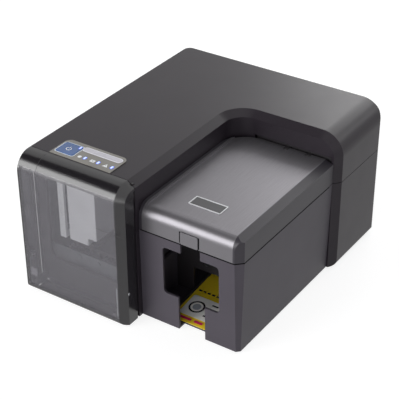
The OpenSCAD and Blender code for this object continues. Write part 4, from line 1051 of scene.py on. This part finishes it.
@dataclass(frozen=True)
class CardHopper(Assembly):
    """The card hopper's casing, its brushed lid with the latch, and the framed plate on the lid."""

    finishes: ClassVar[dict[str, Look]] = {
        "lid_plate": Look.PLATE, "lid_hinge_pins": Look.BRIGHT_STEEL, "lid_hinge_bracket": Look.DARK,
    }
    edge: float = 0.5
    tab_edge: float = 0.9
    tab_rise: float = 0.8                   # how far the latch tab stands out
    tab_w: float = 24.0
    slot_w: float = 1.7
    slot_foot: float = 1.2                  # where the slots start above the tab's lower edge
    slot_rise: float = 0.15
    slot_root: float = 0.3
    slot_edge: float = 0.05
    left: float = 154.0                     # the left end of the seam's painted shade
    nose: float = 8.3                       # the bevel at the hopper's front right corner
    rear: float = 236.0                     # the rear end of the seam's painted shade
    seam_shade: Flat = (123.8, 125.4)           # its lower and upper edge
    seam_shade_rise: float = 0.06
    seam_shade_root: float = 0.35
    plate_rim: float = 1.5
    field_z: float = 0.45                   # the field's middle above the plate's underside
    field_t: float = 0.15
    field_edge: float = 0.05

    def make_pieces(self) -> None:
        """Builds the casing, the lid, its latch and plate, and the painted shade in the slots and the seam
        round them.
        """
        rounded_copy("hopper_shell", "hopper_casing", Look.HOPPER, self.edge)
        rounded_copy("hopper_lid", "brushed_lid", Look.LID, self.edge, 3)
        tab = rounded_copy("lid_latch", "latch_tab", Look.LID, self.tab_edge, 3)
        tab.data.transform(Matrix.Translation((0.0, -self.tab_rise * MM, 0.0)))
        self.paint_slot_shade()
        self.paint_seam_shade()
        self.plate_field()

    def paint_slot_shade(self) -> None:
        """Paints shade in the slots beside the latch tab, as dark strips that stand a little out of the
        lid's face.
        """
        (x0, _, z0), (x1, _, z1) = (CASING.place_of(corner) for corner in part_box("lid_latch"))
        centre, y = (x0 + x1) / 2, CASING.hopper_y
        front, rear, foot = y - self.slot_rise, y + self.slot_root, z0 + self.slot_foot
        slots = [slab((x, front, foot), (x + self.slot_w, rear, z1), self.slot_edge, 1)
                 for x in (centre - self.tab_w / 2 - self.slot_w, centre + self.tab_w / 2)]
        # matt black strips that paint the shade in the slots
        make_piece("latch_slots_painted_shade", joined(slots), Look.PAINTED_SHADE, "lid")

    def paint_seam_shade(self) -> None:
        """Paints shade in the gap between the casing and the lid, as a dark strip along the front, the nose
        and the side.
        """
        x, y = CASING.hopper_right, CASING.hopper_y
        z0, z1 = self.seam_shade
        out, into, nose = self.seam_shade_rise, self.seam_shade_root, self.nose
        front = slab((self.left, y - out, z0), (x - nose, y + into, z1), 0.0)
        side = slab((x - into, y + nose, z0), (x + out, self.rear, z1), 0.0)
        corner = plate_of([(x - nose, y - out), (x + out, y + nose), (x - into, y + nose),
                           (x - nose, y + into)], z0, z1 - z0)
        whole = joined([front, side, corner])
        # a matt black strip that paints the shade in the seam; it is wider than the gap itself
        make_piece("lid_seam_painted_shade", whole, Look.PAINTED_SHADE, "case")

    def plate_field(self) -> None:
        """Fills the plate's bright frame with a bare dark field."""
        (x0, y0, z0), (x1, y1, _) = (CASING.place_of(corner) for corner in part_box("lid_plate"))
        rim, middle, half = self.plate_rim, z0 + self.field_z, self.field_t / 2
        bare = slab((x0 + rim, y0 + rim, middle - half), (x1 - rim, y1 - rim, middle + half),
                    self.field_edge, 1)
        make_piece("lid_plate_field", bare, Look.PLATE_FACE, "lid")


# ---------------------------------------------------------------- control panel


@dataclass(frozen=True)
class LampShape:
    """A small lamp: a blue-lit rim and a clear lens, each by width, depth and corner radius."""

    rim: Point
    rim_t: float
    lens: Point
    lens_z: float
    lens_t: float

    def rim_at(self, x: float, y: float, z: float) -> Mesh:
        """Makes the rim round a centre on a face."""
        return pill(x, y, self.rim, z - SINK, self.rim_t)

    def lens_at(self, x: float, y: float, z: float) -> Mesh:
        """Makes the lens round a centre over a face."""
        return pill(x, y, self.lens, z + self.lens_z, self.lens_t)


@dataclass(frozen=True)
class ControlPanel(Assembly):
    """The taupe panel with its blue power key, bare strip, lamps and printed symbols."""

    finishes: ClassVar[dict[str, Look]] = {"status_lamps": Look.LAMP}
    panel_edge: float = 0.35
    top: float = 191.0
    ink: float = 0.06                       # how far print stands up
    key_edge: float = 0.5
    key_top: float = 191.6
    key_low: Flat = (31.4, 34.4)
    key_size: Flat = (25.7, 22.9)
    key_radius: float = 2.3
    key_border: Flat = (1.5, 0.4)           # how far outside the key the line round it starts and ends
    power_shift: float = 0.6                # how far the power symbol lies off the key's middle
    power_ring: Flat = (3.6, 2.75)
    power_turn: Flat = (125.0, 290.0)       # where the broken ring starts, and the degrees that it covers
    power_bar: Flat = (0.6, 4.6)
    power_bar_w: float = 0.9
    key_lamp_in: Flat = (2.6, 3.4)          # from the key's rear right corner to the lamp's middle
    key_lamp: LampShape = LampShape((3.4, 6.4, 1.6), 0.1, (1.9, 4.6, 0.9), 0.04, 0.12)
    strip_edge: float = 0.15
    strip_border: Flat = (-0.3, -0.9)       # how far inside the strip the line on it starts and ends
    strip_slack: float = 0.05               # keeps its round ends a little under half its depth
    lamp_x: Point = (72.9, 92.4, 112.3)
    lamp_y: float = 38.8
    lamp: LampShape = LampShape((4.2, 6.4, 2.0), 0.12, (2.2, 4.8, 1.0), 0.1, 0.26)
    sign_x: Point = (65.4, 84.4, 103.6)
    sign_y: float = 38.3
    spot_r: float = 2.6
    spot_sides: int = 8
    card: Point = (6.4, 5.0, 0.7)
    window: Point = (2.0, 1.4, 0.3)
    window_t: float = 0.03
    triangle: Box = ((-3.6, -2.8, 0.0), (3.6, 3.5, 0.0))
    slit: Flat = (0.35, 1.0)                # half its width and depth

    def make_pieces(self) -> None:
        """Builds the panel, the key, the strip, the lamps and the print on them."""
        rounded_copy("control_panel", "panel_plate", Look.PANEL, self.panel_edge)
        rounded_copy("power_button", "power_key_cap", Look.KEY, self.key_edge, 3)
        rounded_copy("status_strip", "bare_strip", Look.STRIP, self.strip_edge)
        self.power_symbol()
        self.borders()
        self.lamps()
        self.signs()

    def power_symbol(self) -> None:
        """Prints the power symbol, a broken ring with a bar, on the key."""
        x, y = (low + size / 2 - self.power_shift for low, size in zip(self.key_low, self.key_size))
        z, height = self.key_top - SINK, self.ink + SINK
        (outer, inner), (start, sweep), half = self.power_ring, self.power_turn, self.power_bar_w / 2
        ring = disc_wall((x, y, z), outer, inner, height, 40, start, sweep)
        front, rear = self.power_bar
        bar = slab((x - half, y + front, z), (x + half, y + rear, z + height), 0.0)
        make_piece("power_symbol", joined([ring, bar]), Look.MARK, "power_key")

    def band(self, low: Flat, size: Flat, radius: float, margins: Flat, z: float, steps: int = 6) -> Mesh:
        """Makes a printed line that follows a rectangle with round corners.

        Args:
            low: the rectangle's low corner.
            size: its width and depth.
            radius: its corners' radius.
            margins: how far outside it the line starts and ends.
            z: the height of the face that is printed on.
            steps: faces round each corner.

        Returns:
            The mesh.
        """
        bm = bmesh.new()
        edges = []
        for m in margins:
            path = round_outline(low[0] - m, low[1] - m, size[0] + 2 * m, size[1] + 2 * m, radius + m, steps)
            loop = [bm.verts.new(CASING.at(x, y, z + self.ink)) for x, y in path]
            edges += [bm.edges.new(pair) for pair in zip(loop, loop[1:] + loop[:1])]
        bmesh.ops.bridge_loops(bm, edges=edges)
        bmesh.ops.recalc_face_normals(bm, faces=bm.faces)
        if bm.faces[:][0].normal.z < 0:
            bmesh.ops.reverse_faces(bm, faces=bm.faces)
        bmesh.ops.solidify(bm, geom=bm.faces[:], thickness=(self.ink + SINK) * MM)
        return bm

    def borders(self) -> None:
        """Prints the pale line round the key and the lighter line on the bare strip."""
        line = self.band(self.key_low, self.key_size, self.key_radius, self.key_border, self.top)
        make_piece("key_border", line, Look.KEY_BORDER, "case")
        (x0, y0, _), (x1, y1, z) = (CASING.place_of(corner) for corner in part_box("status_strip"))
        radius = (y1 - y0) / 2 - self.strip_slack
        line = self.band((x0, y0), (x1 - x0, y1 - y0), radius, self.strip_border, z - LAP, 10)
        make_piece("strip_border", line, Look.MARK, "case")

    def lamps(self) -> None:
        """Sets the small lamp in the key's corner and the three on the panel."""
        x, y = (low + size - inset
                for low, size, inset in zip(self.key_low, self.key_size, self.key_lamp_in))
        rim = self.key_lamp.rim_at(x, y, self.key_top)
        make_piece("key_lamp_rim", rim, Look.LAMP_RIM, "power_key")
        lens = self.key_lamp.lens_at(x, y, self.key_top)
        make_piece("key_lamp", lens, Look.LAMP, "power_key")
        rims = [self.lamp.rim_at(x, self.lamp_y, self.top) for x in self.lamp_x]
        make_piece("lamp_halos", joined(rims), Look.LAMP_RIM, "case")
        tops = [self.lamp.lens_at(x, self.lamp_y, self.top) for x in self.lamp_x]
        make_piece("lamp_tops", joined(tops), Look.LAMP, "case")

    def signs(self) -> None:
        """Prints the three plain signs beside the lamps: a spot, a card and a triangle."""
        z, height, y = self.top - SINK, self.ink + SINK, self.sign_y
        first, second, third = self.sign_x
        turns = [math.tau * i / self.spot_sides for i in range(self.spot_sides)]
        spot = plate_of([(first + self.spot_r * math.cos(a), y + self.spot_r * math.sin(a)) for a in turns],
                        z, height)
        card = pill(second, y, self.card, z, height)
        (left, front, _), (right, rear, _) = self.triangle
        triangle = plate_of([(third + left, y + front), (third + right, y + front), (third, y + rear)],
                            z, height)
        whole = joined([spot, card, triangle])
        make_piece("panel_signs", whole, Look.MARK, "case")
        over = z + height - LAP
        window = pill(second, y, self.window, over, self.window_t)
        w, d = self.slit
        slit = slab((third - w, y - d, over), (third + w, y + d, over + self.window_t), 0.0)
        make_piece("sign_marks", joined([window, slit]), Look.PANEL, "case")


# ---------------------------------------------------------------- cards


@dataclass(frozen=True)
class Cards(Assembly):
    """The printed cards in the output tray, with a generic design, and the stack of blank ones in the bin.

    The design's places count from the top card's front left corner.
    """

    finishes: ClassVar[dict[str, Look]] = {"output_cards": Look.CARD_YELLOW, "blank_cards": Look.CARD_WHITE}
    ink: float = 0.03
    width: float = 54.0
    slope: float = 6.0                      # the tray's slope in degrees
    stack: float = 1.55                     # two cards, one on the other
    margin: float = 4.0
    field: Point = (10.0, 36.0, 3.0)        # the white field's front side, length and corner radius
    disc_at: Flat = (19.0, 28.0)
    ring_r: Flat = (10.5, 8.0)
    spot_r: Flat = (5.4, 0.2)
    disc_sides: int = 36
    row_at: Flat = (34.0, 17.0)
    row_pitch: float = 7.0
    row_widths: tuple[float, ...] = (11.0, 9.0, 11.0, 9.0)
    row_d: float = 2.4
    foot_y: float = 54.0
    foot_pitch: float = 6.4
    foot_count: int = 6
    foot: Point = (4.4, 2.6, 0.4)           # width, length and corner radius
    bars: tuple[Flat, ...] = ((4.0, 22.0), (30.0, 12.0))        # left side and width
    bar_y: float = 3.0
    bar_d: float = 4.0
    corner: float = 0.5

    def make_pieces(self) -> None:
        """Prints a white field with a ringed disc, bars and stripes."""
        front, length, radius = self.field
        field = self.patch(self.margin, front, self.width - 2 * self.margin, length, radius)
        self.lay("card_field", [field], Look.CARD_WHITE, "white_card")
        left, first = self.row_at
        rows = [self.patch(left, first + self.row_pitch * i, width, self.row_d, self.corner, 1)
                for i, width in enumerate(self.row_widths)]
        feet = [self.patch(self.margin + self.foot_pitch * i, self.foot_y, *self.foot)
                for i in range(self.foot_count)]
        self.lay("card_dark_print", [self.disc(self.ring_r), *rows, *feet], Look.CARD_DARK, "dark_plastic")
        self.lay("card_grey_print", [self.disc(self.spot_r)], Look.CARD_GREY, "light_plastic")
        bars = [self.patch(left, self.bar_y, width, self.bar_d, self.corner) for left, width in self.bars]
        self.lay("card_red_print", bars, Look.CARD_MAGENTA, "printed_card")

    def patch(self, x: float, y: float, w: float, d: float, r: float, level: int = 0) -> Mesh:
        """Draws a rounded patch of ink, a level above what it covers."""
        return plate_of(round_outline(x, y, w, d, r), level * self.ink - LAP, self.ink + LAP)

    def disc(self, radii: Flat) -> Mesh:
        """Draws a ring of ink on the white field from its outer and inner radius."""
        return disc_wall((*self.disc_at, self.ink - LAP), *radii, self.ink, self.disc_sides)

    def lay(self, name: str, parts: Iterable[Mesh], look: Look, slot: str) -> None:
        """Lays flat shapes on the sloping top card.

        Args:
            name: the piece's name.
            parts: the shapes, drawn across and along the card.
            look: the ink's finish.
            slot: a material slot's name, which is not used.
        """
        low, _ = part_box("output_cards")
        slope = math.radians(self.slope)
        corner = Vector((low.x, low.y, low.z + self.stack * math.cos(slope) * MM))
        bm = joined(parts)
        bmesh.ops.translate(bm, vec=-CASING.at(0, 0, 0), verts=bm.verts)
        bmesh.ops.rotate(bm, cent=(0, 0, 0), matrix=Matrix.Rotation(slope, 3, "X"), verts=bm.verts)
        bmesh.ops.translate(bm, vec=corner, verts=bm.verts)
        make_piece(name, bm, look, "case")


# ---------------------------------------------------------------- inner works


class Works(Assembly):
    """The feed, transport, shuttle, boards and power parts, which only show through the openings."""

    finishes: ClassVar[dict[str, Look]] = {
        "input_bin": Look.DARK, "card_weight": Look.STEEL, "pick_shaft": Look.STEEL,
        "pick_rollers": Look.RUBBER, "pick_gear": Look.ACETAL, "feed_pinion": Look.ACETAL,
        "feed_motor": Look.MOTOR, "cross_frames": Look.FRAME, "left_frame": Look.FRAME,
        "right_frame": Look.FRAME, "transport_shaft": Look.STEEL, "transport_rollers": Look.RUBBER,
        "drive_motors": Look.MOTOR, "pinch_shaft": Look.STEEL, "pinch_rollers": Look.RUBBER,
        "shuttle_rails": Look.FRAME, "card_shuttle": Look.DARK, "lead_screw": Look.FRAME,
        "main_board": Look.BOARD, "panel_board": Look.BOARD, "power_supply": Look.SUPPLY,
        "power_inlet": Look.DARK, "data_ports": Look.STEEL, "fan_frame": Look.DARK, "fan_rotor": Look.DARK,
    }


# ---------------------------------------------------------------- studio


@dataclass(frozen=True)
class SoftBox:
    """A soft lamp: its name, its place and size in metres, and its power in watts."""

    name: str
    place: Point
    width: float
    height: float
    power: float


@dataclass(frozen=True)
class Studio:
    """A pale floor, soft lamps and the camera at the photograph's angle. Its lengths are metres."""

    focal_px: float = 1228.96               # the fitted camera, in the photograph's pixels
    frame_px: float = 400.0
    centre_px: Flat = (202.42, 203.90)
    yaw: float = 33.83
    pitch: float = 32.25
    roll: float = -0.23
    place: Point = (0.72709, -1.09506, 0.91299)
    sensor: float = 36.0                    # millimetres
    aim: Point = (0.0, 0.0, 0.1)            # what the lamps and the flag face
    floor_size: Flat = (14.0, 14.0)
    flag_place: Point = (-0.62, -0.6, 1.25)
    flag_size: Flat = (1.2, 0.8)
    sky: str = "#f2f4f7"
    sky_strength: float = 0.25
    soft_boxes: tuple[SoftBox, ...] = (
        SoftBox("front_strip_box", (-1.06, -1.70, 0.5), 1.6, 1.7, 46.0),
        SoftBox("back_softbox", (-0.15, 2.18, 1.15), 1.7, 1.0, 27.0),
        SoftBox("top_softbox", (0.5, 0.2, 2.4), 1.6, 1.6, 4.0),
        SoftBox("side_softbox", (2.2, -0.4, 1.1), 1.0, 1.0, 1.2),
        SoftBox("front_fill_box", (0.75, -1.9, 0.55), 1.4, 1.0, 12.0),
        SoftBox("crown_softbox", (1.25, 1.6, 1.05), 0.7, 0.6, 4.0),
    )

    def build(self) -> None:
        """Sets the camera, lamps, flag, floor and world."""
        self.camera()
        for soft_box in self.soft_boxes:
            self.hang(soft_box)
        self.flag()
        self.floor()
        self.world()
        bpy.context.scene.view_settings.view_transform = "Standard"

    def camera(self) -> None:
        """Places the camera as the photograph's was."""
        yaw, pitch, roll = (math.radians(a) for a in (self.yaw, self.pitch, self.roll))
        ahead = Vector((-math.sin(yaw) * math.cos(pitch), math.cos(yaw) * math.cos(pitch),
                        -math.sin(pitch)))
        level = Vector((math.cos(yaw), math.sin(yaw), 0.0))
        upward = level.cross(ahead)
        right = level * math.cos(roll) + upward * math.sin(roll)
        up = upward * math.cos(roll) - level * math.sin(roll)
        data = bpy.data.cameras.new("view")
        data.sensor_width = self.sensor
        data.lens = self.focal_px / self.frame_px * self.sensor
        data.shift_x = (self.frame_px / 2 - self.centre_px[0]) / self.frame_px
        data.shift_y = (self.centre_px[1] - self.frame_px / 2) / self.frame_px
        camera = bpy.data.objects.new("view", data)
        bpy.context.scene.collection.objects.link(camera)
        turn = Matrix((right, up, -ahead)).transposed().to_4x4()
        camera.matrix_world = Matrix.Translation(self.place) @ turn
        bpy.context.scene.camera = camera

    def facing(self, place: Point) -> Euler:
        """Gives the turn that makes a lamp or a sheet face the printer."""
        return (Vector(self.aim) - Vector(place)).to_track_quat("-Z", "Y").to_euler()

    def hang(self, soft_box: SoftBox) -> None:
        """Hangs a soft lamp that faces the printer.

        Args:
            soft_box: the lamp.
        """
        data = bpy.data.lights.new(soft_box.name, "AREA")
        data.shape = "RECTANGLE"
        data.size = soft_box.width
        data.size_y = soft_box.height
        data.energy = soft_box.power
        lamp = bpy.data.objects.new(soft_box.name, data)
        lamp.location = soft_box.place
        lamp.rotation_euler = self.facing(soft_box.place)
        bpy.context.scene.collection.objects.link(lamp)

    def sheet(self, name: str, size: Flat, cuts: int, finish: Finish) -> bpy.types.Object:
        """Makes a flat sheet, centred on its own origin.

        Args:
            name: its name.
            size: its width and depth.
            cuts: faces along each side.
            finish: what it is made of.

        Returns:
            The sheet.
        """
        bm = bmesh.new()
        bmesh.ops.create_grid(bm, x_segments=cuts, y_segments=cuts, size=0.5)
        bmesh.ops.scale(bm, vec=(*size, 1.0), verts=bm.verts)
        sheet = add_object(name, bm)
        sheet.data.materials.append(finish.build())
        return sheet

    def flag(self) -> None:
        """Hangs a black card over the front, which only shows as the dark band in glossy curves."""
        card = self.sheet("black_flag", self.flag_size, 1, FlagCloth("flag_black_cloth"))
        card.location = self.flag_place
        card.rotation_euler = self.facing(self.flag_place)
        for ray in ("camera", "shadow", "diffuse", "transmission"):
            setattr(card, f"visible_{ray}", False)

    def floor(self) -> None:
        """Lays the pale floor, which shows white with a soft shadow."""
        floor = self.sheet("studio_floor", self.floor_size, 4, FloorPaint("studio_floor_paint"))

    def world(self) -> None:
        """Lights the studio evenly and shows white beyond the floor."""
        world = bpy.data.worlds.new("studio")
        bpy.context.scene.world = world
        world.use_nodes = True
        tree = world.node_tree
        tree.nodes.clear()
        _, shown = eye_rays(tree)
        fill = add_node(tree, "Background", {"Color": linear(self.sky), "Strength": self.sky_strength})
        white = add_node(tree, "Background", {"Color": linear("#ffffff"), "Strength": 1.0})
        mix = add_node(tree, "MixShader", links={0: shown, 1: fill.outputs[0], 2: white.outputs[0]})
        add_node(tree, "OutputWorld", links={"Surface": mix.outputs[0]})


def main() -> None:
    """Builds the studio and the printer's looks in order."""
    logging.basicConfig(level=logging.INFO, format="%(name)s: %(message)s")
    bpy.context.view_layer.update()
    for group in (Studio, Shells, FrontDoor, PrintBay, CardHopper, ControlPanel, Cards, Works):
        LOG.info("building %s", group.__name__)
        group().build()


if __name__ == "__main__":
    main()
